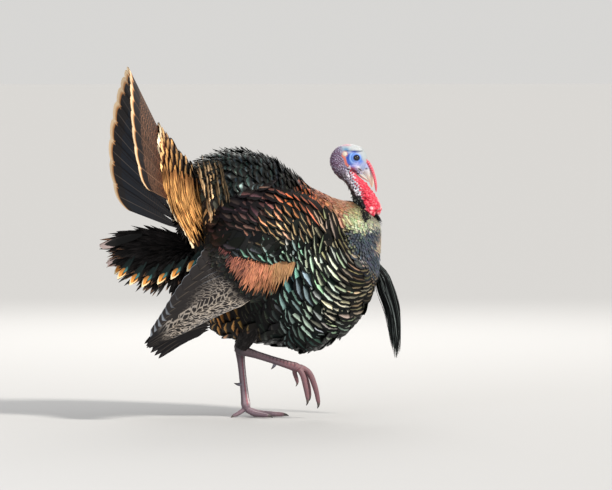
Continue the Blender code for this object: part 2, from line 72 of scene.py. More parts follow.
# small helpers
def smooth(low, high, x):
    t = np.clip((np.asarray(x, float) - low) / (high - low), 0, 1)
    return t * t * (3 - 2 * t)


def unit(v):
    return v / np.maximum(np.linalg.norm(v, axis=-1, keepdims=True), 1e-9)


def table(x, pairs):
    # straight-line reading of a short table of (x, value)
    xs, ys = zip(*pairs)
    return np.interp(x, xs, ys)


def catmull(rows, t):
    # a smooth run through the rows; t counts rows
    rows, t = np.asarray(rows, float), np.atleast_1d(np.asarray(t, float))
    i = np.clip(t.astype(int), 0, len(rows) - 2)
    f = (t - i)[:, None]
    p, q, r, s = (rows[np.clip(i + k, 0, len(rows) - 1)] for k in (-1, 0, 1, 2))
    return 0.5 * (2 * q + (r - p) * f + (2 * p - 5 * q + 4 * r - s) * f**2 + (3 * q - p - 3 * r + s) * f**3)


def meshFrom(name, points, faces):
    mesh = bpy.data.meshes.new(name)
    mesh.from_pydata(np.asarray(points, float).tolist(), [], [tuple(f) for f in faces])
    mesh.update()
    return mesh


def addObject(name, mesh):
    obj = bpy.data.objects.new(name, mesh)
    bpy.context.scene.collection.objects.link(obj)
    return obj


def gridFaces(rows, columns, start=0, wrap=False):
    across = columns if wrap else columns - 1
    i, j = np.meshgrid(np.arange(rows - 1), np.arange(across), indexing="ij")
    a, b = i * columns + j, i * columns + (j + 1) % columns
    return np.stack([a, b, b + columns, a + columns], -1).reshape(-1, 4) + start


def applied(obj):
    # the object's modifiers worked out into a plain mesh
    bpy.context.view_layer.update()
    graph = bpy.context.evaluated_depsgraph_get()
    result = bpy.data.meshes.new_from_object(obj.evaluated_get(graph), preserve_all_data_layers=True,
                                             depsgraph=graph)
    obj.modifiers.clear()
    old, obj.data = obj.data, result
    bpy.data.meshes.remove(old)
    return obj


def settle(obj, slotName, *nodes):
    # shifts a finished piece into the frame, hangs it on the root body and hides the model's parts that it
    # replaces
    obj.data.transform(Matrix.Translation((rowShift, 0, 0)))
    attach(obj, "root")
    if nodes:
        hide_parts(*nodes)
    print(obj.name, len(obj.data.polygons), "faces")
    return obj


# shader helpers
def newMaterial(name, rough=0.6, metal=0.0):
    made = bpy.data.materials.new(name)
    made.use_nodes = True
    shader = made.node_tree.nodes["Principled BSDF"]
    shader.inputs["Roughness"].default_value = rough
    shader.inputs["Metallic"].default_value = metal
    return made, made.node_tree, shader


def mathNode(tree, operation, a, b=None, clamp=False):
    node = tree.nodes.new("ShaderNodeMath")
    node.operation = operation
    node.use_clamp = clamp
    for socket, value in zip(node.inputs, (a, b)):
        if value is None:
            continue
        if isinstance(value, (int, float)):
            socket.default_value = value
        else:
            tree.links.new(value, socket)
    return node.outputs[0]


def mixColour(tree, share, a, b, blend="MIX"):
    node = tree.nodes.new("ShaderNodeMix")
    node.data_type = "RGBA"
    node.blend_type = blend
    for socket, value in ((node.inputs[0], share), (node.inputs[6], a), (node.inputs[7], b)):
        if isinstance(value, (int, float)):
            socket.default_value = value
        elif isinstance(value, tuple):
            socket.default_value = (*value, 1.0)
        else:
            tree.links.new(value, socket)
    return node.outputs[2]


def stepNode(tree, low, high, value):
    # 0 below low, 1 above high, eased between
    node = tree.nodes.new("ShaderNodeMapRange")
    node.interpolation_type = "SMOOTHSTEP"
    for socket, entry in zip((node.inputs[0], node.inputs[1], node.inputs[2]), (value, low, high)):
        if isinstance(entry, (int, float)):
            socket.default_value = entry
        else:
            tree.links.new(entry, socket)
    return node.outputs[0]


def attributeNode(tree, name, output="Color"):
    node = tree.nodes.new("ShaderNodeAttribute")
    node.attribute_name = name
    return node.outputs[output]


def splitNode(tree, vector):
    node = tree.nodes.new("ShaderNodeSeparateXYZ")
    tree.links.new(vector, node.inputs[0])
    return node.outputs


def noiseNode(tree, scale, detail=3.0, vector=None, output="Fac"):
    node = tree.nodes.new("ShaderNodeTexNoise")
    node.inputs["Scale"].default_value = scale
    node.inputs["Detail"].default_value = detail
    if vector is None:
        vector = tree.nodes.new("ShaderNodeTexCoord").outputs["Object"]
    tree.links.new(vector, node.inputs["Vector"])
    return node.outputs[output]


# feather blades
def bladeMesh(name, spec, seed):
    # one flat feather, root at 0 and tip at y = 1, half a unit wide each way
    rng = np.random.default_rng(seed)
    across, along = spec["across"], spec["along"]
    v = np.linspace(0, 1, along + 1) ** spec.get("bias", 0.85)
    x = np.linspace(-0.5, 0.5, across + 1)
    half = table(v, spec["outline"])
    points, uv = [], []
    ragged = 1 + spec.get("ragged", 0.03) * rng.uniform(-1, 0.4, across + 1)
    skew = rng.uniform(-0.04, 0.04)
    for i, t in enumerate(v):
        for j, side in enumerate(x):
            reach = t * (1 + (ragged[j] - 1) * t * t)
            dip = spec.get("round", 0.1) * (2 * side) ** 2 * t * t
            points.append((side * 2 * half[i] + skew * t * t, reach - dip * half[i] * 2,
                           -spec.get("camber", 0.06) * (2 * side * half[i] * 2) ** 2 * 0.5
                           + spec.get("arch", 0.03) * 4 * t * (1 - t)))
            uv.append((side + 0.5, t))
    mesh = meshFrom(name, points, gridFaces(along + 1, across + 1))
    layer = mesh.uv_layers.new(name="feather")
    corners = np.empty(len(mesh.loops), int)
    mesh.loops.foreach_get("vertex_index", corners)
    layer.data.foreach_set("uv", np.asarray(uv)[corners].ravel())
    return mesh


bladeSpecs = {
    "broad": {"across": 6, "along": 6, "outline": ((0, 0.16), (0.18, 0.4), (0.45, 0.5), (0.78, 0.5),
                                                   (0.92, 0.44), (1, 0.3)),
              "ragged": 0.03, "round": 0.07, "camber": 0.08, "arch": 0.04, "count": 4},
    "mantle": {"across": 6, "along": 6,
               "outline": ((0, 0.15), (0.2, 0.38), (0.5, 0.5), (0.8, 0.46), (0.93, 0.33), (1, 0.14)),
               "ragged": 0.03, "round": 0.12, "camber": 0.12, "arch": 0.05, "count": 3},
    "lance": {"across": 4, "along": 6, "outline": ((0, 0.2), (0.3, 0.42), (0.6, 0.5), (0.82, 0.38),
                                                   (0.95, 0.18), (1, 0.04)),
              "ragged": 0.02, "round": 0.05, "camber": 0.12, "arch": 0.03, "count": 3},
    "wisp": {"across": 2, "along": 5, "outline": ((0, 0.5), (0.4, 0.42), (0.8, 0.24), (1, 0.04)),
             "ragged": 0.0, "round": 0.0, "camber": 0.1, "arch": 0.02, "count": 2},
}
bladeLibrary = bpy.data.collections.new("blades")
bladeIndex = {}
for kind, spec in bladeSpecs.items():
    bladeIndex[kind] = []
    for k in range(spec["count"]):
        number = sum(len(found) for found in bladeIndex.values())
        bladeObject = bpy.data.objects.new(f"blade{number:02d}",
                                           bladeMesh(f"blade{number:02d}", spec, 40 + number))
        bladeLibrary.objects.link(bladeObject)
        bladeIndex[kind].append(number)


def tractTree():
    # scatters a blade on every root point, turned to its lie, curled, and given a small patch of the bake map
    tree = bpy.data.node_groups.new("featherTract", "GeometryNodeTree")
    face = tree.interface
    for title, kind in (("Roots", "NodeSocketGeometry"), ("Blades", "NodeSocketCollection"),
                        ("Vane", "NodeSocketMaterial"), ("Patch", "NodeSocketFloat")):
        face.new_socket(title, in_out="INPUT", socket_type=kind)
    face.new_socket("Feathers", in_out="OUTPUT", socket_type="NodeSocketGeometry")
    nodes, links = tree.nodes, tree.links
    entry, leave = nodes.new("NodeGroupInput"), nodes.new("NodeGroupOutput")

    def named(name, kind):
        node = nodes.new("GeometryNodeInputNamedAttribute")
        node.data_type = kind
        node.inputs["Name"].default_value = name
        return next(o for o in node.outputs if o.enabled and o.name == "Attribute")

    def vectorMath(operation, a, b=None, scale=None):
        node = nodes.new("ShaderNodeVectorMath")
        node.operation = operation
        links.new(a, node.inputs[0])
        if b is not None:
            if isinstance(b, tuple):
                node.inputs[1].default_value = b
            else:
                links.new(b, node.inputs[1])
        if scale is not None:
            links.new(scale, node.inputs["Scale"])
        return node.outputs[0]

    def times(a, b):
        node = nodes.new("ShaderNodeMath")
        node.operation = "MULTIPLY"
        links.new(a, node.inputs[0])
        links.new(b, node.inputs[1])
        return node.outputs[0]

    blades = nodes.new("GeometryNodeCollectionInfo")
    links.new(entry.outputs["Blades"], blades.inputs["Collection"])
    blades.inputs["Separate Children"].default_value = True
    blades.inputs["Reset Children"].default_value = True
    turn = nodes.new("FunctionNodeAxesToRotation")
    turn.primary_axis, turn.secondary_axis = "Y", "Z"
    links.new(named("lie", "FLOAT_VECTOR"), turn.inputs[0])
    links.new(named("up", "FLOAT_VECTOR"), turn.inputs[1])
    place = nodes.new("GeometryNodeInstanceOnPoints")
    place.inputs["Pick Instance"].default_value = True
    links.new(entry.outputs["Roots"], place.inputs["Points"])
    links.new(blades.outputs[0], place.inputs["Instance"])
    links.new(named("variant", "INT"), place.inputs["Instance Index"])
    links.new(turn.outputs[0], place.inputs["Rotation"])
    links.new(named("size", "FLOAT_VECTOR"), place.inputs["Scale"])
    real = nodes.new("GeometryNodeRealizeInstances")
    links.new(place.outputs[0], real.inputs[0])
    feather = named("feather", "FLOAT_VECTOR")
    parts = nodes.new("ShaderNodeSeparateXYZ")
    links.new(feather, parts.inputs[0])
    squared = times(parts.outputs[1], parts.outputs[1])
    bend = nodes.new("GeometryNodeSetPosition")
    links.new(real.outputs[0], bend.inputs["Geometry"])
    links.new(vectorMath("SCALE", named("curl", "FLOAT_VECTOR"), scale=squared), bend.inputs["Offset"])
    centred = vectorMath("SUBTRACT", feather, (0.5, 0.5, 0.0))
    patch = vectorMath("SCALE", centred, scale=entry.outputs["Patch"])
    store = nodes.new("GeometryNodeStoreNamedAttribute")
    store.data_type, store.domain = "FLOAT2", "CORNER"
    store.inputs["Name"].default_value = "OFBake"
    links.new(bend.outputs[0], store.inputs["Geometry"])
    links.new(vectorMath("ADD", named("rootUV", "FLOAT_VECTOR"), patch),
              next(i for i in store.inputs if i.enabled and i.name == "Value"))
    soft = nodes.new("GeometryNodeSetShadeSmooth")
    links.new(store.outputs[0], soft.inputs[0])
    finish = nodes.new("GeometryNodeSetMaterial")
    links.new(soft.outputs[0], finish.inputs["Geometry"])
    links.new(entry.outputs["Vane"], finish.inputs["Material"])
    links.new(finish.outputs[0], leave.inputs[0])
    return tree


featherTract = tractTree()


def joinTracts(*tracts):
    return {key: np.concatenate([t[key] for t in tracts]) for key in tracts[0]}


def pickBlades(rng, kind, count):
    return rng.choice(bladeIndex[kind], count)


def layTract(name, tract, vane, patch=0.003):
    # tract holds one row for each feather: root, tip, up, width, variant, curl, rootUV, colours and band
    # places
    mesh = bpy.data.meshes.new(name)
    mesh.from_pydata(tract["root"].tolist(), [], [])
    chord = tract["tip"] - tract["root"]
    length = np.linalg.norm(chord, axis=1)
    vectors = {"lie": unit(chord), "up": tract["up"], "size": np.stack([tract["width"], length, length], 1),
               "curl": tract["up"] * (tract["curl"] * length)[:, None],
               "rootUV": np.column_stack([0.02 + 0.96 * tract["rootUV"], np.zeros(len(length))])}
    for key, values in vectors.items():
        mesh.attributes.new(key, "FLOAT_VECTOR", "POINT").data.foreach_set("vector",
            values.astype(np.float32).ravel())
    mesh.attributes.new("variant", "INT", "POINT").data.foreach_set("value",
        tract["variant"].astype(np.int32))
    for key in ("colA", "colB", "colC", "par"):
        values = np.column_stack([tract[key], np.ones(len(length))]).astype(np.float32)
        mesh.attributes.new(key, "FLOAT_COLOR", "POINT").data.foreach_set("color", values.ravel())
    obj = addObject(name, mesh)
    step = obj.modifiers.new("Feathers", "NODES")
    step.node_group = featherTract
    sockets = {i.name: i.identifier for i in featherTract.interface.items_tree if i.in_out == "INPUT"}
    step[sockets["Blades"]] = bladeLibrary
    step[sockets["Vane"]] = vane
    step[sockets["Patch"]] = patch
    applied(obj)
    for key in ("lie", "up", "size", "curl", "rootUV", "variant"):
        found = obj.data.attributes.get(key)
        if found:
            obj.data.attributes.remove(found)
    obj.data.uv_layers.active = obj.data.uv_layers["OFBake"]
    return obj


def vaneMaterial(name, rough=0.42, metal=0.35, barbs=0.22, shaft=0.12, bandEdge=0.03, tipEdge=0.016,
                 taper=1.0, sheenFloor=0.35, spread=1.0):
    # dark base, a glossy crescent that narrows towards both edges, then the tip, all read from the feather's
    # own colours; the crescent is painted brighter towards its outer edge, a painted highlight
    made, tree, shader = newMaterial(name, rough, metal)
    shader.inputs["Specular IOR Level"].default_value = 0.1
    across, along, _ = splitNode(tree, attributeNode(tree, "feather", "Vector"))
    bandStart, tipStart, chance = splitNode(tree, attributeNode(tree, "par", "Vector"))
    off = mathNode(tree, "ABSOLUTE", mathNode(tree, "SUBTRACT", across, 0.5))
    squared = mathNode(tree, "MULTIPLY", off, off)
    wander = mathNode(tree, "MULTIPLY", mathNode(tree, "SUBTRACT", noiseNode(tree, 160.0, 2.0), 0.5), 0.06)
    place = mathNode(tree, "ADD", mathNode(tree, "ADD", along, mathNode(tree, "MULTIPLY", squared, 0.12)),
                     wander)
    half = mathNode(tree, "MULTIPLY", mathNode(tree, "SUBTRACT", tipStart, bandStart), 0.5)
    pinch = mathNode(tree, "MULTIPLY", half, mathNode(tree, "MULTIPLY", squared, 4.0 * taper))
    low, high = mathNode(tree, "ADD", bandStart, pinch), mathNode(tree, "SUBTRACT", tipStart, pinch)
    tip = stepNode(tree, mathNode(tree, "SUBTRACT", high, tipEdge), mathNode(tree, "ADD", high, tipEdge),
                   place)
    rise = stepNode(tree, mathNode(tree, "SUBTRACT", low, bandEdge), mathNode(tree, "ADD", low, bandEdge),
                    place)
    band = mathNode(tree, "SUBTRACT", rise, tip, True)
    # painted highlight: the band colour grows brighter from its inner edge to its outer edge
    paintedSheen = mathNode(tree, "ADD", mathNode(tree, "MULTIPLY", stepNode(tree, low, high, place), 1.0 - sheenFloor),
                    sheenFloor)
    colour = mixColour(tree, tip, attributeNode(tree, "colA"), attributeNode(tree, "colC"))
    colour = mixColour(tree, mathNode(tree, "MULTIPLY", band, paintedSheen), colour, attributeNode(tree, "colB"))
    slant = mathNode(tree, "ADD", mathNode(tree, "MULTIPLY", along, 90.0),
                     mathNode(tree, "MULTIPLY", off, -60.0))
    comb = mathNode(tree, "SINE", mathNode(tree, "ADD", slant, mathNode(tree, "MULTIPLY", chance, 40.0)))
    shade = mathNode(tree, "ADD", mathNode(tree, "MULTIPLY", comb, barbs * 0.5), 1.0)
    level = mathNode(tree, "ADD", mathNode(tree, "MULTIPLY", mathNode(tree, "POWER", chance, 1.5), spread),
                     1.0 - 0.45 * spread)
    bright = mathNode(tree, "MULTIPLY", shade, level)
    line = stepNode(tree, 0.035, 0.012, off)
    bright = mathNode(tree, "ADD", bright, mathNode(tree, "MULTIPLY", line, shaft))
    grey = tree.nodes.new("ShaderNodeCombineXYZ")
    for socket in grey.inputs:
        tree.links.new(bright, socket)
    colour = mixColour(tree, 1.0, colour, grey.outputs[0], "MULTIPLY")
    tree.links.new(colour, shader.inputs["Base Color"])
    glossy = mathNode(tree, "SUBTRACT", rough + 0.12, mathNode(tree, "MULTIPLY", band, 0.16))
    tree.links.new(mathNode(tree, "ADD", glossy, mathNode(tree, "MULTIPLY", comb, 0.05)),
                   shader.inputs["Roughness"])
    if metal:
        tree.links.new(mathNode(tree, "MULTIPLY", band, metal), shader.inputs["Metallic"])
    return made


# the body's surface
# Sections from the rump to the neck: top x, top z, low x, low z, half width.
trunkStations = [
    (-0.146, 0.54, -0.15, 0.43, 0.028), (-0.132, 0.588, -0.124, 0.318, 0.086),
    (-0.08, 0.612, -0.086, 0.204, 0.13),
    (-0.022, 0.617, -0.018, 0.18, 0.152), (0.035, 0.603, 0.06, 0.168, 0.161),
    (0.082, 0.575, 0.13, 0.151, 0.158),
    (0.122, 0.543, 0.209, 0.185, 0.146), (0.155, 0.523, 0.264, 0.251, 0.126),
    (0.182, 0.51, 0.294, 0.316, 0.104),
    (0.202, 0.503, 0.3, 0.37, 0.084), (0.215, 0.5, 0.302, 0.414, 0.066), (0.227, 0.5, 0.3, 0.444, 0.048),
    (0.242, 0.497, 0.29, 0.46, 0.03),
]


def sectionPoint(rows, s, u, square=2.2):
    # a point on the section s, u turning from the top round the left side
    row = catmull(rows, s)
    top = np.stack([row[:, 0], 0 * row[:, 0], row[:, 1]], 1)
    low = np.stack([row[:, 2], 0 * row[:, 0], row[:, 3]], 1)
    c, d = np.cos(u), np.sin(u)
    up = np.sign(c) * np.abs(c) ** (2 / square)
    out = np.sign(d) * np.abs(d) ** (2 / square)
    point = (top + low) / 2 + (top - low) / 2 * up[:, None]
    point[:, 1] += row[:, 4] * out
    return point


def surfaceFrame(surface, s, u, reach=0.02):
    # point, outward normal and the direction of rising s
    s, u = np.asarray(s, float), np.asarray(u, float)
    point = surface(s, u)
    rise = surface(s + reach, u) - surface(s - reach, u)
    turn = surface(s, u + reach) - surface(s, u - reach)
    return point, unit(np.cross(turn, rise)), rise / (2 * reach)


def trunkPoint(s, u):
    return sectionPoint(trunkStations, np.clip(s, 0.02, 12.0), u, 2.25)


def bodyMesh(inset, steps=60, around=64):
    s = np.linspace(0.03, 12, steps)
    u = np.linspace(0, 2 * np.pi, around, endpoint=False) + 0.01
    ss, uu = (g.ravel() for g in np.meshgrid(s, u, indexing="ij"))
    point, normal, _ = surfaceFrame(trunkPoint, ss, uu)
    away = unit(point - np.repeat(
        (catmull(trunkStations, s)[:, [0, 4, 1]] * (1, 0, 1) + catmull(trunkStations, s)[:, [2, 4, 3]]
         * (1, 0, 1)) / 2, around, 0))
    normal *= np.sign((normal * away).sum(1))[:, None]
    return point - normal * inset(ss)[:, None], gridFaces(steps, around, 0, True), s, around


bodyShell = bodyMesh(lambda s: 0 * s)
bodyTree = BVHTree.FromPolygons([Vector(p) for p in bodyShell[0]], [tuple(f) for f in bodyShell[1]])
widthX = np.linspace(-0.32, 0.28, 151)
widthZ = np.linspace(0.12, 0.64, 131)
widthMap = np.zeros((len(widthX), len(widthZ)))
for i, x in enumerate(widthX):
    for j, z in enumerate(widthZ):
        hit = bodyTree.ray_cast(Vector((x, 1.0, z)), Vector((0, -1, 0)))[0]
        widthMap[i, j] = hit.y if hit else 0.0


def bodyWidth(x, z):
    # the trunk's half width where a line across the bird meets it, 0 outside
    fx = np.clip((np.asarray(x) - widthX[0]) / (widthX[1] - widthX[0]), 0, len(widthX) - 1.001)
    fz = np.clip((np.asarray(z) - widthZ[0]) / (widthZ[1] - widthZ[0]), 0, len(widthZ) - 1.001)
    i, j = fx.astype(int), fz.astype(int)
    a, b = fx - i, fz - j
    return (widthMap[i, j] * (1 - a) * (1 - b) + widthMap[i + 1, j] * a * (1 - b)
            + widthMap[i, j + 1] * (1 - a) * b + widthMap[i + 1, j + 1] * a * b)


def sideWidth(x, z):
    # the wing stands off the body where the body falls away behind it
    body = bodyWidth(x, z)
    plane = 0.158 + 0.02 * smooth(-0.27, -0.07, x)
    hold = smooth(0.06, 0.01, x) * smooth(0.43, 0.37, z)
    return body + np.maximum(0, plane - body) * hold


print("body surface ready")


# body feathers
# Each zone: centre x, z, reach, dark base, band, tip, where band and tip begin along the feather.
black = (0.005, 0.006, 0.006)
bodyZones = [
    (-0.04, 0.6, 0.06, black, (0.026, 0.046, 0.048), (0.004, 0.005, 0.005), 0.8, 0.9),
    (-0.055, 0.5, 0.045, black, (0.035, 0.052, 0.05), (0.004, 0.005, 0.005), 0.76, 0.9),
    (-0.108, 0.565, 0.03, (0.007, 0.005, 0.004), (0.03, 0.032, 0.03), (0.01, 0.008, 0.006), 0.56, 0.9),
    (-0.1, 0.51, 0.028, (0.007, 0.005, 0.004), (0.045, 0.042, 0.036), (0.01, 0.008, 0.006), 0.56, 0.9),
    (-0.105, 0.455, 0.03, (0.007, 0.005, 0.004), (0.56, 0.33, 0.14), (0.01, 0.008, 0.006), 0.56, 0.9),
    (0.035, 0.575, 0.05, (0.005, 0.005, 0.006), (0.03, 0.042, 0.046), (0.005, 0.005, 0.005), 0.76, 0.88),
    (0.085, 0.56, 0.03, (0.006, 0.006, 0.006), (0.06, 0.05, 0.042), (0.005, 0.005, 0.005), 0.76, 0.88),
    (0.122, 0.532, 0.026, (0.01, 0.006, 0.004), (0.72, 0.2, 0.08), (0.012, 0.006, 0.004), 0.74, 0.88),
    (0.162, 0.518, 0.024, (0.18, 0.07, 0.04), (0.5, 0.18, 0.1), (0.22, 0.085, 0.05), 0.45, 0.92),
    (0.205, 0.5, 0.03, (0.34, 0.17, 0.1), (0.46, 0.23, 0.14), (0.38, 0.19, 0.12), 0.4, 0.92),
    (0.236, 0.468, 0.024, (0.34, 0.33, 0.18), (0.46, 0.46, 0.26), (0.4, 0.4, 0.22), 0.4, 0.92),
    (0.246, 0.444, 0.018, (0.52, 0.56, 0.36), (0.66, 0.72, 0.48), (0.58, 0.64, 0.42), 0.4, 0.92),
    (0.262, 0.4, 0.034, (0.042, 0.053, 0.072), (0.07, 0.088, 0.118), (0.052, 0.066, 0.088), 0.5, 0.92),
    (0.25, 0.365, 0.018, (0.03, 0.036, 0.046), (0.07, 0.08, 0.096), (0.034, 0.04, 0.05), 0.55, 0.92),
    (0.278, 0.35, 0.024, (0.042, 0.053, 0.072), (0.07, 0.088, 0.118), (0.052, 0.066, 0.088), 0.5, 0.92),
    (0.285, 0.448, 0.016, (0.4, 0.4, 0.3), (0.6, 0.6, 0.47), (0.5, 0.5, 0.38), 0.45, 0.92),
    (0.3, 0.395, 0.016, (0.34, 0.28, 0.21), (0.54, 0.44, 0.33), (0.46, 0.37, 0.28), 0.45, 0.92),
    (0.228, 0.416, 0.016, (0.042, 0.053, 0.072), (0.07, 0.088, 0.118), (0.052, 0.066, 0.088), 0.5, 0.92),
    (0.188, 0.396, 0.034, (0.006, 0.006, 0.005), (0.34, 0.31, 0.19), (0.004, 0.004, 0.004), 0.79, 0.88),
    (0.238, 0.325, 0.036, (0.006, 0.005, 0.005), (0.28, 0.22, 0.13), (0.004, 0.004, 0.004), 0.79, 0.87),
    (0.165, 0.345, 0.042, (0.004, 0.007, 0.006), (0.6, 0.72, 0.54), (0.003, 0.004, 0.004), 0.72, 0.87),
    (0.075, 0.285, 0.04, (0.003, 0.008, 0.009), (0.24, 0.4, 0.39), (0.003, 0.004, 0.004), 0.71, 0.88),
    (0.11, 0.24, 0.045, (0.003, 0.008, 0.008), (0.52, 0.66, 0.58), (0.003, 0.004, 0.004), 0.71, 0.88),
    (0.175, 0.25, 0.045, (0.004, 0.008, 0.007), (0.72, 0.78, 0.6), (0.003, 0.004, 0.004), 0.71, 0.88),
    (0.245, 0.262, 0.036, (0.006, 0.006, 0.004), (0.46, 0.39, 0.24), (0.004, 0.004, 0.003), 0.78, 0.88),
    (0.11, 0.165, 0.034, (0.004, 0.005, 0.005), (0.05, 0.11, 0.095), (0.003, 0.003, 0.003), 0.76, 0.88),
    (0.2, 0.19, 0.03, (0.004, 0.005, 0.005), (0.4, 0.52, 0.4), (0.003, 0.003, 0.003), 0.76, 0.88),
    (-0.065, 0.205, 0.045, (0.007, 0.005, 0.004), (0.58, 0.27, 0.08), (0.01, 0.008, 0.006), 0.78, 0.9),
    (0.01, 0.235, 0.045, black, (0.03, 0.04, 0.034), (0.005, 0.005, 0.005), 0.76, 0.88),
    (-0.11, 0.33, 0.07, black, (0.01, 0.01, 0.01), (0.012, 0.01, 0.008), 0.74, 0.9),
]


def zoneColours(zones, x, z, rng, jitter=0.3):
    # soft mixture of the zones near each tip, with a little wander so that no border shows
    count = len(x)
    x, z = x + rng.normal(0, 0.006, count), z + rng.normal(0, 0.006, count)
    weight = (np.stack([np.exp(-((x - q[0]) ** 2 + (z - q[1]) ** 2) / q[2] ** 2 * 1.6) for q in zones], 1)
              + 1e-9)
    weight = weight**1.5
    weight /= weight.sum(1, keepdims=True)
    found = {}
    for key, at in (("colA", 3), ("colB", 4), ("colC", 5)):
        found[key] = weight @ np.array([q[at] for q in zones])
        found[key] = (found[key] * (1 + jitter * rng.uniform(-1, 1, (count, 1)))
                      * (1 + 0.5 * jitter * rng.uniform(-1, 1, (count, 3))))
    starts = weight @ np.array([(q[6], q[7]) for q in zones])
    found["par"] = np.column_stack([starts + rng.uniform(-0.02, 0.02, (count, 2)), rng.uniform(0, 1, count)])
    return found


def bodyExposure(s):
    return table(s, ((0, 0.015), (4, 0.0135), (6, 0.012), (7.2, 0.0098), (8.0, 0.0076), (8.8, 0.0058),
                     (9.6, 0.0046), (12, 0.0034)))


def bodyLength(s):
    return table(s, ((0, 0.056), (4, 0.054), (6, 0.05), (8.5, 0.036), (10, 0.024), (12, 0.014)))


def bodyWide(s, u):
    # narrower over the back, and down to hair-fine on the neck and above the beard
    s = s + 1.1 * smooth(2.0, 2.7, np.abs(u)) * smooth(6.9, 7.9, s)
    flank = table(s, ((0, 0.064), (2, 0.06), (4, 0.064), (6.5, 0.062), (7.6, 0.046), (8.4, 0.028),
                      (9.0, 0.013), (10, 0.008), (12, 0.005)))
    back = table(s, ((0, 0.019), (1.6, 0.019), (2.6, 0.026), (6.5, 0.032), (7.2, 0.026), (7.8, 0.014),
                     (8.6, 0.01), (10, 0.008), (12, 0.005)))
    wide = flank + (back - flank) * smooth(1.45, 0.85, np.abs(u))
    place = trunkPoint(s, u)
    ahead, down = place[..., 0] - 0.25, 0.39 - place[..., 2]
    patch = smooth(1.0, 0.75, np.hypot((ahead * 0.62 + down * 0.78) / 0.082,
                                       (ahead * 0.78 - down * 0.62) / 0.037))
    return wide + (0.011 - wide) * patch * (wide > 0.011)


bodyPitch = 0.74  # spacing along a row, as a share of the feather's width


def rowStation(r, u):
    # rows sweep forward towards the keel
    sweep = 2.2 * smooth(1.5, 4.5, r) * smooth(12.0, 6.5, r) + 0.5 * smooth(4.5, 1.5, r)
    return np.minimum(r + sweep * smooth(0.45, 0.95, np.abs(u) / np.pi), 11.95)


def bodyRows(rng):
    # the tips stand in rows that run from the spine down to the keel; gives each tip's station, turn and row
    # direction
    stops, r = [], 11.9
    while r > 0.25:
        stops.append(r)
        ahead = (trunkPoint(np.array([r + 0.05]), np.array([1.6]))
                 - trunkPoint(np.array([r - 0.05]), np.array([1.6])))
        r -= bodyExposure(r) / (np.linalg.norm(ahead) / 0.1)
    rows = []
    for k, r in enumerate(stops[:-1]):
        rows += [(r, False, stops[k + 1]), ((r + stops[k + 1]) / 2, True, stops[k + 1])]
    stations, turns, alongs = [], [], []
    u = np.linspace(-np.pi, np.pi, 721)[:-1]
    for number, (r, between, following) in enumerate(rows):
        ring = trunkPoint(rowStation(r, u), u)
        gap = np.linalg.norm(ring - trunkPoint(rowStation(following, u), u), axis=1) * (2 if between else 1)
        stride = np.linalg.norm(np.roll(ring, -1, 0) - ring, axis=1)
        run = np.concatenate([[0], np.cumsum(stride / bodyWide(rowStation(r, u), u))])
        count = max(8, int(run[-1] / bodyPitch))
        at = ((np.arange(count) + 0.5 * (number % 4 > 1) + rng.uniform(-0.14, 0.14, count)) * run[-1]
              / count % run[-1])
        spot = np.interp(at, run, np.append(u, np.pi))
        near = np.interp(spot, u, gap)
        keep = near > 1.45 * bodyExposure(r) if between else np.ones(count, bool)
        spot = spot[keep]
        stations.append(rowStation(r + rng.uniform(-0.03, 0.03, len(spot)), spot))
        turns.append(spot)
        alongs.append(trunkPoint(rowStation(r, spot + 0.02), spot + 0.02)
                      - trunkPoint(rowStation(r, spot - 0.02), spot - 0.02))
    return np.concatenate(stations), np.concatenate(turns), unit(np.concatenate(alongs))


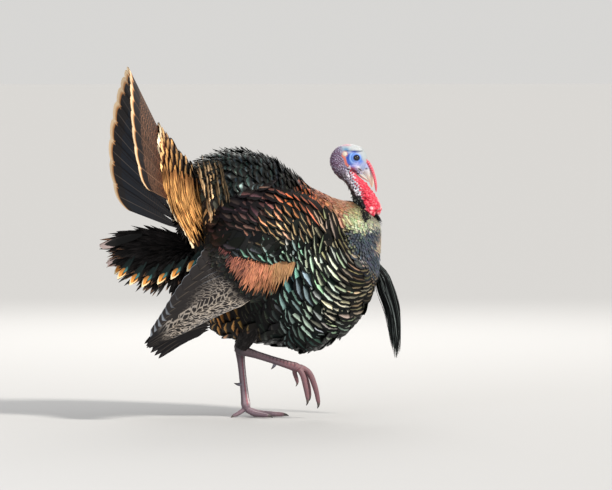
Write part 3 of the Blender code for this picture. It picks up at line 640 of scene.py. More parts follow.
def bodyFeathers():
    rng = np.random.default_rng(11)
    s, u, along = bodyRows(rng)
    tip, normal, rise = surfaceFrame(trunkPoint, s, u)
    middle = trunkPoint(s, u * 0) * 0.5 + trunkPoint(s, u * 0 + np.pi) * 0.5
    normal *= np.sign((normal * (tip - middle)).sum(1))[:, None]
    count = len(s)
    length = bodyLength(s) * rng.uniform(0.92, 1.1, count)
    # each feather lies square to its row, pointing to the tail
    lie = unit(np.cross(along, normal))
    lie *= np.where((lie * rise).sum(1) > 0, -1, 1)[:, None]
    lie = unit(lie + along * rng.normal(0, 0.07, count)[:, None])
    root = tip - lie * length[:, None]
    rootNormal = normal.copy()
    for k in range(count):
        place, facing, _, _ = bodyTree.find_nearest(root[k])
        if s[k] < 11.0:
            root[k] = np.array(place)
            facing = np.array(facing)
            rootNormal[k] = facing if facing @ normal[k] > 0 else -facing
    root = root - rootNormal * (length * 0.27)[:, None]
    tip = tip + normal * (rng.uniform(-0.0008, 0.0022, count) * length / 0.05)[:, None]
    up = unit(normal + along * rng.normal(0, 0.08, count)[:, None])
    inWing = (np.abs(tip[:, 1]) > 0.06) & (padShare(wingPad, tip[:, 0], tip[:, 2]) < 0.86)
    inCoverts = (np.abs(tip[:, 1]) > 0.06) & (padShare(copperPad, tip[:, 0], tip[:, 2]) < 0.8)
    keep = ~(inWing | inCoverts)
    onBack = (s > 1.6) & (s < 7.3) & (np.abs(u) < 1.25)
    variant = np.where(onBack & (rng.random(count) < 0.7), pickBlades(rng, "mantle", count),
                       pickBlades(rng, "broad", count))
    fine = bodyWide(s, u) < 0.017
    variant = np.where(fine | ((np.abs(u) < 1.3) & (s < 2.3)), pickBlades(rng, "lance", count), variant)
    ruffle = (np.where(onBack, rng.uniform(0.0, 0.16, count) * smooth(6.4, 5.2, s),
                       rng.uniform(-0.02, 0.05, count)) * smooth(8.6, 6.8, s))
    tract = {"root": root, "tip": tip, "up": up, "width": bodyWide(s, u) * rng.uniform(0.92, 1.12, count),
             "variant": variant,
             "curl": ruffle, "rootUV": np.column_stack([np.clip(s / 12, 0, 1), (u + np.pi) / (2 * np.pi)])}
    tract |= zoneColours(bodyZones, tip[:, 0], tip[:, 2], rng)
    calm = np.maximum(smooth(8.2, 9.0, s), fine)
    tract["par"][:, 2] = tract["par"][:, 2] * (1 - calm) + (0.42 + 0.2 * tract["par"][:, 2]) * calm
    # painted shade: along the keel the band colour is darkened nearly to black, where the breast turns under
    # into shadow; it partly stands for the feathers' black edges seen edge-on
    keel = (smooth(0.062, 0.046, np.abs(tip[:, 1])) * smooth(0.33, 0.28, tip[:, 2])
            * smooth(0.02, 0.09, tip[:, 0]))
    tract["colB"] *= 1 - 0.88 * keel[:, None]
    for key in ("colA", "colB", "colC"):
        tract[key] *= 1 - 0.95 * smooth(10.95, 11.35, s)[:, None]
    return {key: values[keep] for key, values in tract.items()}


def rumpDown():
    # black down over the blunt end of the body, where the quills of the tail come out
    rng = np.random.default_rng(19)
    count = 420
    share, turn = np.sqrt(rng.uniform(0, 1, count)), rng.uniform(0, 2 * np.pi, count)
    root = np.column_stack([-0.134 + 0 * share, 0.027 * share * np.sin(turn),
                            0.485 + 0.056 * share * np.cos(turn)])
    lie = unit(np.column_stack([-0.4 - 0.25 * (1 - share), 0.75 * share * np.sin(turn),
                                0.85 * share * np.cos(turn) - 0.18]) + 0.12 * rng.normal(0, 1, (count, 3)))
    dim = rng.uniform(0.5, 1.6, (count, 1))
    return {"root": root, "tip": root + lie * rng.uniform(0.034, 0.056, count)[:, None],
            "up": unit(np.array((-1.0, 0, 0.4)) + 0.3 * rng.normal(0, 1, (count, 3))),
            "width": rng.uniform(0.01, 0.018, count), "variant": pickBlades(rng, "mantle", count),
            "curl": rng.uniform(-0.05, 0.05, count),
            "rootUV": np.column_stack([0.01 + 0.02 * share, turn / (2 * np.pi)]),
            "colA": np.array((0.008, 0.007, 0.007)) * dim,
            "colB": np.array((0.014, 0.012, 0.012)) * dim, "colC": np.array((0.016, 0.012, 0.01)) * dim,
            "par": np.column_stack([np.full((count, 2), (0.6, 0.9)), rng.uniform(0, 1, count)])}


def rumpStreaks(sign, rng):
    # tan feather edges, one below the other, in long lines down the side of the rump
    x, z, lies = [], [], []
    for line in range(9):
        startX, low = (-0.136 + 0.0088 * line + rng.uniform(-0.002, 0.002),
                       0.43 + rng.uniform(0, 0.012) + 0.009 * max(line - 3, 0))
        startZ = rng.uniform(0.566, 0.592) - 0.006 * max(line - 4, 0)
        lean = rng.uniform(0.12, 0.24)
        while startZ > low:
            x.append(startX)
            z.append(startZ)
            lies.append((lean, -1.0))
            step = rng.uniform(0.013, 0.018) + 0.022 * (rng.random() < 0.12)
            startX, startZ = startX + lean * step + rng.uniform(-0.0012, 0.0012), startZ - step
    x, z, lies = np.array(x), np.array(z), unit(np.array(lies))
    keep = (bodyWidth(x, z) > 0.012) & (bodyWidth(x - 0.004, z + 0.028) > 0.008)
    x, z, lies = x[keep], z[keep], lies[keep]
    count = len(x)
    tract = sideTract(lambda a, b: sideWidth(a, b) + 0.004, sign, x, z, lies,
                      rng.uniform(0.03, 0.038, count), rng.uniform(0.0044, 0.0068, count), "lance", rng,
                      0.02, 0.002, 0.03)
    tan = np.array((0.74, 0.5, 0.26)) * rng.uniform(0.45, 1.15, (count, 1)) + rng.uniform(0, 0.08, (count, 1))
    fade = smooth(-0.07, -0.1, x)[:, None] * smooth(0.6, 0.56, z)[:, None] * 0.85 + 0.15
    return tract | {"colA": np.tile(black, (count, 1)), "colB": tan * fade, "colC": tan * fade * 0.5,
                    "par": np.column_stack([np.full(count, 0.04), np.full(count, 0.97),
                                            rng.uniform(0.3, 1, count)])}


# wings
wingPad = {"centre": (0.036, 0.443), "half": (0.152, 0.088), "tilt": 0.18, "bulge": 0.022, "rim": 0.003}
copperPad = {"centre": (0.001, 0.329), "half": (0.092, 0.047), "tilt": -0.2, "bulge": 0.006, "rim": 0.006}


def padShare(pad, x, z):
    # 0 at the pad's middle, 1 at its rim
    dx, dz = np.asarray(x) - pad["centre"][0], np.asarray(z) - pad["centre"][1]
    c, d = math.cos(pad["tilt"]), math.sin(pad["tilt"])
    return np.hypot((dx * c + dz * d) / pad["half"][0], (dz * c - dx * d) / pad["half"][1])


def padHeight(pad, x, z):
    share = padShare(pad, x, z)
    return sideWidth(x, z) + pad["rim"] + pad["bulge"] * np.sqrt(np.clip(1 - share**2, 0, 1))


def sidePoint(height, sign, x, z):
    # point and outward normal of a surface given as half width over x, z
    reach = 0.006
    y = height(x, z)
    slopeX = np.clip((height(x + reach, z) - height(x - reach, z)) / (2 * reach), -2.5, 2.5)
    slopeZ = np.clip((height(x, z + reach) - height(x, z - reach)) / (2 * reach), -2.5, 2.5)
    normal = unit(np.stack([-slopeX, np.ones_like(y), -slopeZ], -1))
    return np.stack([x, sign * y, z], -1), normal * (1, sign, 1)


def sideTract(height, sign, tipX, tipZ, lie, length, width, kind, rng, depth=0.2, lift=0.0, wobble=0.06):
    # feathers on the flank or wing, laid by their tips; lie points from root to tip in the x, z plane
    count = len(tipX)
    turn = rng.normal(0, wobble, count)
    lieX = lie[:, 0] * np.cos(turn) - lie[:, 1] * np.sin(turn)
    lieZ = lie[:, 0] * np.sin(turn) + lie[:, 1] * np.cos(turn)
    tip, normal = sidePoint(height, sign, tipX, tipZ)
    root, rootNormal = sidePoint(height, sign, tipX - lieX * length, tipZ - lieZ * length)
    tip = tip + normal * (lift + rng.uniform(-0.0008, 0.0014, count))[:, None]
    root = root - rootNormal * (depth * length)[:, None]
    across = unit(np.cross(normal, tip - root))
    return {"root": root, "tip": tip, "up": unit(normal + across * rng.normal(0, 0.07, count)[:, None]),
            "width": width,
            "variant": pickBlades(rng, kind, count), "curl": rng.uniform(-0.02, 0.04, count),
            "rootUV": np.column_stack([np.clip((tipX + 0.3) / 0.62, 0, 1),
                                       np.clip((tipZ - 0.1) / 0.55, 0, 1)])}


wingZones = [
    (-0.08, 0.45, 0.045, black, (0.055, 0.036, 0.038), (0.006, 0.005, 0.006), 0.76, 0.88),
    (-0.015, 0.49, 0.03, (0.007, 0.005, 0.006), (0.105, 0.058, 0.058), (0.006, 0.005, 0.006), 0.74, 0.88),
    (0.03, 0.512, 0.024, (0.008, 0.006, 0.006), (0.26, 0.13, 0.11), (0.006, 0.005, 0.006), 0.76, 0.88),
    (0.075, 0.5, 0.028, (0.008, 0.006, 0.005), (0.84, 0.2, 0.085), (0.006, 0.005, 0.004), 0.82, 0.91),
    (0.118, 0.482, 0.024, (0.008, 0.006, 0.005), (0.66, 0.22, 0.11), (0.006, 0.005, 0.004), 0.82, 0.91),
    (0.17, 0.455, 0.03, (0.006, 0.006, 0.005), (0.46, 0.38, 0.26), (0.005, 0.005, 0.004), 0.68, 0.88),
    (0.155, 0.42, 0.028, (0.006, 0.006, 0.005), (0.42, 0.42, 0.3), (0.005, 0.005, 0.004), 0.74, 0.895),
    (0.055, 0.452, 0.03, black, (0.52, 0.27, 0.13), (0.005, 0.005, 0.005), 0.87, 0.93),
    (0.105, 0.435, 0.026, black, (0.46, 0.32, 0.19), (0.005, 0.005, 0.005), 0.86, 0.925),
    (0.138, 0.508, 0.024, (0.008, 0.006, 0.005), (0.72, 0.21, 0.1), (0.006, 0.005, 0.004), 0.72, 0.89),
    (0.185, 0.478, 0.022, (0.007, 0.006, 0.005), (0.48, 0.31, 0.2), (0.005, 0.005, 0.004), 0.66, 0.88),
    (-0.04, 0.44, 0.026, black, (0.22, 0.12, 0.1), (0.005, 0.005, 0.005), 0.86, 0.93),
    (-0.008, 0.425, 0.02, black, (0.34, 0.2, 0.12), (0.005, 0.005, 0.005), 0.86, 0.93),
    (0.05, 0.412, 0.018, black, (0.46, 0.42, 0.26), (0.005, 0.006, 0.005), 0.86, 0.93),
    (-0.048, 0.402, 0.02, black, (0.07, 0.08, 0.09), (0.005, 0.006, 0.005), 0.84, 0.925),
    (0.01, 0.39, 0.02, black, (0.26, 0.44, 0.38), (0.005, 0.006, 0.005), 0.84, 0.925),
    (0.07, 0.378, 0.02, black, (0.55, 0.86, 0.66), (0.005, 0.006, 0.005), 0.84, 0.925),
    (0.125, 0.382, 0.028, black, (0.55, 0.8, 0.58), (0.005, 0.006, 0.005), 0.84, 0.92),
]
wingEdge = ((-0.12, 0.405), (-0.08, 0.391), (-0.023, 0.367), (0.023, 0.355), (0.11, 0.343), (0.16, 0.352),
            (0.2, 0.385))


def wingStreak(x):
    # how steeply the rows fall from back to front, in radians below level
    return np.radians(table(x, ((-0.12, 30), (-0.05, 36), (0.05, 50), (0.12, 68), (0.17, 86), (0.2, 92))))


def wingRows(rng, spacing=0.0098, pitch=0.029):
    # rows grown both ways along the turning direction from seeds one exposure apart
    spots = []
    seed = np.array([0.192, 0.452])
    for number in range(31):
        for way in (1, -1):
            place, run, nextAt = (seed.copy(), 0.0,
                                  pitch * (0.25 + 0.5 * (number % 2)) if way > 0 else pitch
                                  * (0.75 - 0.5 * (number % 2)))
            while run < 0.26:
                fall = wingStreak(place[0])
                place = place + way * 0.002 * np.array([np.cos(fall), -np.sin(fall)])
                run += 0.002
                if run >= nextAt:
                    spots.append(place + rng.uniform(-0.0012, 0.0012, 2))
                    nextAt += pitch * rng.uniform(0.86, 1.14) * (1 + 0.5 * smooth(0.09, 0.15, place[0]))
        fall = wingStreak(seed[0])
        seed = seed + spacing * np.array([-np.sin(fall), -np.cos(fall)])
    return np.array(spots)


def wingFeathers(sign, rng):
    # the streaks of light run along the rows, tips pointing down and back
    spots = wingRows(rng)
    x, z = spots.T
    short = bodyWidth(x + 0.035, z + 0.03) < 0.055
    inside = ((padShare(wingPad, x, z) < 1.02) & (bodyWidth(x, z) > 0.045)
              & (bodyWidth(x + 0.014, z + 0.012) > 0.05))
    inside &= z > table(x, wingEdge) + rng.uniform(-0.004, 0.003, len(x))
    x, z, short = x[inside], z[inside], short[inside]
    count = len(x)
    fall = wingStreak(x)
    back = smooth(0.16, -0.06, x)
    length = ((0.044 + 0.022 * back - 0.021 * smooth(0.115, 0.165, x)) * rng.uniform(0.94, 1.08, count)
              * np.where(short, 0.6, 1))
    width = ((0.04 + 0.006 * back + 0.022 * smooth(0.09, 0.15, x)) * rng.uniform(0.92, 1.1, count)
             * np.where(short, 0.7, 1))
    lies = np.stack([-np.sin(fall), -np.cos(fall)], 1)
    tract = sideTract(lambda a, b: padHeight(wingPad, a, b), sign, x, z, lies, length, width, "broad", rng,
                      0.2)
    return tract | zoneColours(wingZones, x, z, rng)


copperZones = [
    (-0.075, 0.375, 0.024, (0.07, 0.03, 0.032), (0.12, 0.042, 0.04), (0.1, 0.036, 0.034), 0.3, 0.9),
    (-0.04, 0.358, 0.026, (0.2, 0.075, 0.055), (0.34, 0.125, 0.08), (0.3, 0.11, 0.07), 0.25, 0.92),
    (0.005, 0.345, 0.028, (0.33, 0.125, 0.075), (0.52, 0.205, 0.115), (0.44, 0.17, 0.095), 0.25, 0.92),
    (0.055, 0.335, 0.026, (0.28, 0.145, 0.07), (0.44, 0.245, 0.12), (0.36, 0.19, 0.09), 0.3, 0.9),
    (0.02, 0.305, 0.02, (0.14, 0.06, 0.03), (0.38, 0.16, 0.08), (0.14, 0.06, 0.03), 0.35, 0.86),
    (0.025, 0.285, 0.012, (0.03, 0.015, 0.01), (0.22, 0.09, 0.04), (0.025, 0.014, 0.009), 0.45, 0.84),
    (-0.05, 0.335, 0.014, (0.05, 0.025, 0.02), (0.26, 0.11, 0.07), (0.08, 0.035, 0.025), 0.45, 0.92),
]
copperLow = ((-0.09, 0.398), (-0.074, 0.364), (-0.05, 0.325), (-0.012, 0.297), (0.035, 0.283),
             (0.058, 0.312), (0.098, 0.345))


def copperFeathers(sign, rng):
    # the bronze greater coverts, soft and long-barbed, so close that they read as one brushed sheet
    x, z = [], []
    for k, row in enumerate(np.arange(0.41, 0.268, -0.0052)):
        spots = np.arange(-0.1, 0.11, 0.0058) + 0.0029 * (k % 2)
        x.append(spots + rng.uniform(-0.003, 0.003, len(spots)))
        z.append(row - spots * 0.2 + rng.uniform(-0.004, 0.004, len(spots)))
    x, z = np.concatenate(x), np.concatenate(z)
    inside = ((z < table(x, wingEdge) + 0.016)
              & (z > table(x, copperLow) + rng.uniform(-0.012, 0.009, len(x)))
              & (x < 0.086 + 0.1 * (z - 0.35)) & (x > -0.088))
    x, z = x[inside], z[inside]
    count = len(x)
    lies = unit(np.stack([-0.26 - 0.4 * smooth(0.06, -0.08, x), -0.94 + 0 * x], 1))
    tract = sideTract(lambda a, b: padHeight(copperPad, a, b) + 0.008 * smooth(0.03, -0.03, a), sign, x, z,
                      lies, 0.05 * rng.uniform(0.75, 1.2, count),
                      0.007 * rng.uniform(0.6, 1.3, count), "wisp", rng, 0.05, 0.0, 0.1)
    tract |= zoneColours(copperZones, x, z, rng, 0.11)
    tract["par"][:, 2] = 0.25 + 0.5 * tract["par"][:, 2]
    return tract


def coverFeathers(sign, rng):
    # the narrow black band of primary coverts over the quill roots, and the dark ones behind the wrist
    x, z = [], []
    for k in range(4):
        share = (np.arange(18) + 0.5 * (k % 2)) / 17.5
        x.append(-0.104 + share * 0.104 - 0.003 * (k - 1.6) + rng.uniform(-0.002, 0.002, 18))
        z.append(0.37 - share * 0.092 - 0.0035 * (k - 1.6) + rng.uniform(-0.002, 0.002, 18))
    for k in range(4):
        share = (np.arange(6) + 0.5 * (k % 2)) / 5.5
        x.append(-0.114 + share * 0.034 + 0.005 * k + rng.uniform(-0.002, 0.002, 6))
        z.append(0.398 - share * 0.014 - 0.008 * k + rng.uniform(-0.002, 0.002, 6))
    x, z = np.concatenate(x), np.concatenate(z)
    count = len(x)
    lies = np.tile(unit(np.array([[-0.76, -0.6]])), (count, 1))
    tract = sideTract(lambda a, b: sideWidth(a, b) + 0.014, sign, x, z, lies,
                      0.028 * rng.uniform(0.8, 1.2, count),
                      0.013 * rng.uniform(0.8, 1.2, count), "mantle", rng, 0.1, 0.0, 0.08)
    zones = [(-0.08, 0.34, 0.05, black, (0.012, 0.012, 0.012), (0.02, 0.018, 0.016), 0.6, 0.9),
             (0.0, 0.27, 0.05, black, (0.014, 0.016, 0.014), (0.016, 0.016, 0.014), 0.6, 0.9)]
    return tract | zoneColours(zones, x, z, rng)


# Flight feathers from the lowest, outermost primary to the innermost secondary: root x, z, then tip x, z.
quillRows = [
    (0.004, 0.288, -0.17, 0.206), (0.006, 0.298, -0.226, 0.176), (0.004, 0.31, -0.246, 0.178),
    (-0.014, 0.327, -0.218, 0.222), (-0.04, 0.35, -0.178, 0.282), (-0.068, 0.374, -0.112, 0.366),
]


pointRows = [(-0.105, 0.214, -0.218, 0.149), (-0.098, 0.226, -0.236, 0.162)]


def quillMesh(name, sign, shares, shift, lead, trail, pointed, lift, rows=quillRows, base=0.0065):
    # shares: places along quillRows, outermost first; each is one long vane lying on the one before
    along, across = 26, 8
    points, faces, uv, par, cells = [], [], [], [], math.ceil(math.sqrt(len(shares)))
    rng = np.random.default_rng(31)
    for number, at in enumerate(shares):
        rootX, rootZ, tipX, tipZ = catmull(rows, at)[0]
        t = np.linspace(0, 1, along + 1) ** 0.9
        v = np.linspace(-1, 1, across + 1)
        x = rootX + (tipX + shift[0] - rootX) * t
        z = rootZ + (tipZ + shift[1] - rootZ) * t + 0.01 * np.sin(np.pi * t)
        run = unit(np.stack([np.gradient(x), np.gradient(z)], 1))
        below = np.stack([run[:, 1], -run[:, 0]], 1)  # towards the leading edge
        below *= np.sign(-below[:, 1:2])
        body = table(t, ((0, 0.06), (0.1, 0.3), (0.22, 0.9), (0.5, 1.0), (0.86, 0.92), (0.94, 0.74),
                         (0.98, 0.48), (1, 0.1)))
        if pointed[number]:
            body = table(t, ((0, 0.06), (0.1, 0.3), (0.22, 0.95), (0.5, 1.0), (0.75, 0.8), (0.9, 0.48),
                             (0.97, 0.24), (1, 0.04)))
        ragged = 1 + 0.02 * rng.uniform(-1, 1, (along + 1, across + 1))
        reach = np.where(v[None, :] > 0, lead[number], trail[number]) * v[None, :] * body[:, None] * ragged
        px, pz = x[:, None] + below[:, :1] * reach, z[:, None] + below[:, 1:] * reach
        y = (sideWidth(px, pz) + base + lift * number + 0.0014 * v[None, :] * body[:, None] - 0.0016
             * v[None, :] ** 2)
        start = sum(len(p) for p in points)
        points.append(np.stack([px, sign * y, pz], -1).reshape(-1, 3))
        faces.append(gridFaces(along + 1, across + 1, start))
        uu, vv = np.broadcast_to((v[None, :] + 1) / 2, px.shape), np.broadcast_to(t[:, None], px.shape)
        uv.append(np.stack([uu, vv], -1).reshape(-1, 2))
        par.append(np.tile([number / len(shares), rng.uniform(), float(pointed[number])], (px.size, 1)))
    cell = np.concatenate([np.full(len(p), k) for k, p in enumerate(points)])
    points, uv, par = np.concatenate(points), np.concatenate(uv), np.concatenate(par)
    mesh = meshFrom(name, points, np.concatenate(faces))
    return finishPlates(mesh, uv, cell, cells, par)


def finishPlates(mesh, uv, cell, cells, par):
    # a map of the vane, an island of the bake map for each feather, and each feather's own numbers
    corners = np.empty(len(mesh.loops), int)
    mesh.loops.foreach_get("vertex_index", corners)
    mesh.uv_layers.new(name="feather").data.foreach_set("uv", uv[corners].ravel())
    corner = np.stack([cell % cells, cell // cells], 1)
    island = (corner + 0.04 + 0.92 * np.clip(uv, 0, 1)) / cells
    mesh.uv_layers.new(name="OFBake").data.foreach_set("uv", island[corners].ravel())
    mesh.attributes.new("par", "FLOAT_COLOR", "POINT").data.foreach_set("color",
        np.column_stack([par, np.ones(len(par))]).astype(np.float32).ravel())
    mesh.uv_layers.active = mesh.uv_layers["OFBake"]
    mesh.shade_smooth()
    return mesh


def barredMaterial(name, dark, pale, edge, tipColour, netUpTo, netAlong, rough=0.55):
    # flight feather: bars across the leading vane, a duller trailing vane, a pale rim and a thin shaft
    made, tree, shader = newMaterial(name, rough)
    shader.inputs["Specular IOR Level"].default_value = 0.12
    across, along, _ = splitNode(tree, attributeNode(tree, "feather", "Vector"))
    order, chance, isPointed = splitNode(tree, attributeNode(tree, "par", "Vector"))
    off = mathNode(tree, "ABSOLUTE", mathNode(tree, "SUBTRACT", across, 0.5))
    # a pale net round dark spots, closer and fuller on the outermost feathers
    spots = tree.nodes.new("ShaderNodeTexVoronoi")
    spots.feature = "DISTANCE_TO_EDGE"
    spots.inputs["Scale"].default_value = 1.0
    place = tree.nodes.new("ShaderNodeCombineXYZ")
    tree.links.new(mathNode(tree, "ADD", mathNode(tree, "MULTIPLY", along, 21.0),
                            mathNode(tree, "MULTIPLY", off, 3.0)), place.inputs[0])
    tree.links.new(mathNode(tree, "MULTIPLY", across, 3.1), place.inputs[1])
    tree.links.new(mathNode(tree, "MULTIPLY", chance, 40.0), place.inputs[2])
    tree.links.new(place.outputs[0], spots.inputs["Vector"])
    net = stepNode(tree, 0.128, 0.03, mathNode(tree, "ADD", spots.outputs["Distance"],
                                               mathNode(tree, "MULTIPLY",
                                                        mathNode(tree, "SUBTRACT",
                                                            noiseNode(tree, 260.0, 3.0), 0.5), 0.18)))
    leading = stepNode(tree, 0.3, 0.62, across)
    spread = mathNode(tree, "ADD", mathNode(tree, "MULTIPLY", leading, 1.0 - edge), edge)
    spread = mathNode(tree, "MULTIPLY", spread,
                      mathNode(tree, "MULTIPLY", stepNode(tree, netAlong[1], netAlong[0], along),
                               stepNode(tree, netUpTo[1], netUpTo[0], order)))
    spread = mathNode(tree, "MULTIPLY", spread,
                      stepNode(tree, 0.05, 0.2,
                               mathNode(tree, "SUBTRACT", along, mathNode(tree, "MULTIPLY", order, 0.1))))
    bar = mathNode(tree, "MULTIPLY", net, spread)
    colour = mixColour(tree, bar, dark, mixColour(tree, noiseNode(tree, 60.0, 2.0), pale, (0.31, 0.29, 0.28)))
    brink = mathNode(tree, "MULTIPLY", stepNode(tree, 0.86, 0.92, across),
                     mathNode(tree, "MULTIPLY", stepNode(tree, 0.12, 0.02, order),
                              stepNode(tree, 0.97, 0.9, along)))
    colour = mixColour(tree, mathNode(tree, "MULTIPLY", brink, isPointed), colour, pale)
    lengthwise = mathNode(tree, "MULTIPLY", stepNode(tree, 0.462, 0.486, off),
                          stepNode(tree, 0.97, 0.88, mathNode(tree, "MULTIPLY", along, isPointed)))
    rounded = mathNode(tree, "ADD", along,
                       mathNode(tree, "MULTIPLY", mathNode(tree, "MULTIPLY", off, off), 0.06))
    rounded = mathNode(tree, "MULTIPLY", stepNode(tree, 0.966, 0.984, rounded),
                       mathNode(tree, "MULTIPLY", mathNode(tree, "SUBTRACT", 1.0, isPointed),
                                stepNode(tree, 0.62, 0.25, order)))
    rim = mathNode(tree, "MAXIMUM", mathNode(tree, "MULTIPLY", lengthwise,
                                             mathNode(tree, "SUBTRACT", 0.75,
                                                      mathNode(tree, "MULTIPLY", isPointed, 0.45))), rounded)
    colour = mixColour(tree, rim, colour, tipColour)
    pointTip = mathNode(tree, "MULTIPLY", stepNode(tree, 0.8, 0.92, along), stepNode(tree, 0.1, 0.3, order))
    colour = mixColour(tree, mathNode(tree, "MULTIPLY", pointTip, isPointed), colour, (0.01, 0.009, 0.01))
    shaft = stepNode(tree, 0.03, 0.01, off)
    colour = mixColour(tree, mathNode(tree, "MULTIPLY", shaft, 0.6), colour, (0.1, 0.08, 0.06))
    comb = mathNode(tree, "SINE", mathNode(tree, "ADD", mathNode(tree, "MULTIPLY", along, 1300.0),
                                           mathNode(tree, "MULTIPLY", off, -500.0)))
    bright = mathNode(tree, "ADD", mathNode(tree, "MULTIPLY", comb, 0.06),
                      mathNode(tree, "ADD", mathNode(tree, "MULTIPLY", noiseNode(tree, 45.0, 3.0), 0.5), 0.7))
    grey = tree.nodes.new("ShaderNodeCombineXYZ")
    for socket in grey.inputs:
        tree.links.new(bright, socket)
    tree.links.new(mixColour(tree, 1.0, colour, grey.outputs[0], "MULTIPLY"), shader.inputs["Base Color"])
    return made


# tail
tail = {"root": (-0.115, 0.0, 0.467), "lean": math.radians(26), "radius": 0.382, "feathers": 18,
        "spread": math.radians(87), "sweep": 0.362}
covertRadius, covertSpread = 0.236, math.radians(112)


def fanPoint(radius, angle, forward=0.0):
    radius, angle = np.asarray(radius, float), np.asarray(angle, float)
    c, d = math.cos(tail["lean"]), math.sin(tail["lean"])
    sweep = tail["sweep"] * np.sin(np.minimum(np.abs(angle), np.pi / 2)) ** 2.17
    x = radius * (-d * np.cos(angle) - sweep) + c * forward
    z = radius * c * np.cos(angle) + d * forward
    root = tail["root"]
    return np.stack([root[0] + x, radius * 0.93 * np.sin(angle) + 0 * x, root[2] + z + 0 * x], -1)


def tailMesh():
    along, across = 34, 12
    points, faces, uv, par = [], [], [], []
    rng = np.random.default_rng(53)
    count = tail["feathers"]
    pitch = 2 * tail["spread"] / count
    order = np.abs(np.arange(count) - (count - 1) / 2)
    start, cell = 0, []
    for number in range(count):
        middle = -tail["spread"] + pitch * (number + 0.5)
        t = np.linspace(0, 1, along + 1)
        v = np.linspace(-1, 1, across + 1)
        half = (pitch * 0.62 * table(t,
                                     ((0, 0.3), (0.15, 0.55), (0.4, 0.92), (0.8, 1.0), (0.95, 0.97),
                                      (1, 0.9))))
        rounded = 0.009 * np.abs(v) ** 2.6 + rng.uniform(0, 0.0012, across + 1)
        if number in (0, count - 1):
            rounded += 0.034 * np.clip(v if number else -v, 0, 1) ** 2.5
        radius = 0.055 + (tail["radius"] - 0.0015 - rounded[None, :] - 0.055) * t[:, None]
        angle = np.clip(middle + half[:, None] * v[None, :], -tail["spread"], tail["spread"])
        for face in (0, 1):
            level = 0.0012 - 0.0003 * order[number] + (0.0006 if face == 0 else -0.0002)
            cup = -0.001 * (v[None, :] ** 2)
            place = fanPoint(radius, angle * np.where(angle < 0, 0.885, 1.02), level + cup)
            far = np.clip(np.sin(angle), 0, 1) ** 2
            place[..., 0] -= (radius * (0.03 * far + 0.04 * far**4) - 0.062 * radius
                              * np.clip(-np.sin(angle), 0, 1) ** 2)
            place[..., 2] -= 0.05 * (1 - radius / tail["radius"]) * far
            block = gridFaces(along + 1, across + 1, start)
            points.append(place.reshape(-1, 3))
            faces.append(block[:, ::-1] if face else block)
            start += place.size // 3
            uu = np.broadcast_to((v[None, :] + 1) / 2, radius.shape)
            uv.append(np.stack([uu, np.broadcast_to(t[:, None], radius.shape)], -1).reshape(-1, 2))
            par.append(np.tile([float(face), rng.uniform(), number / count], (radius.size, 1)))
            cell.append(np.full(radius.size, number * 2 + face))
    mesh = meshFrom("tail_feathers", np.concatenate(points), np.concatenate(faces))
    return finishPlates(mesh, np.concatenate(uv), np.concatenate(cell), 6, np.concatenate(par))


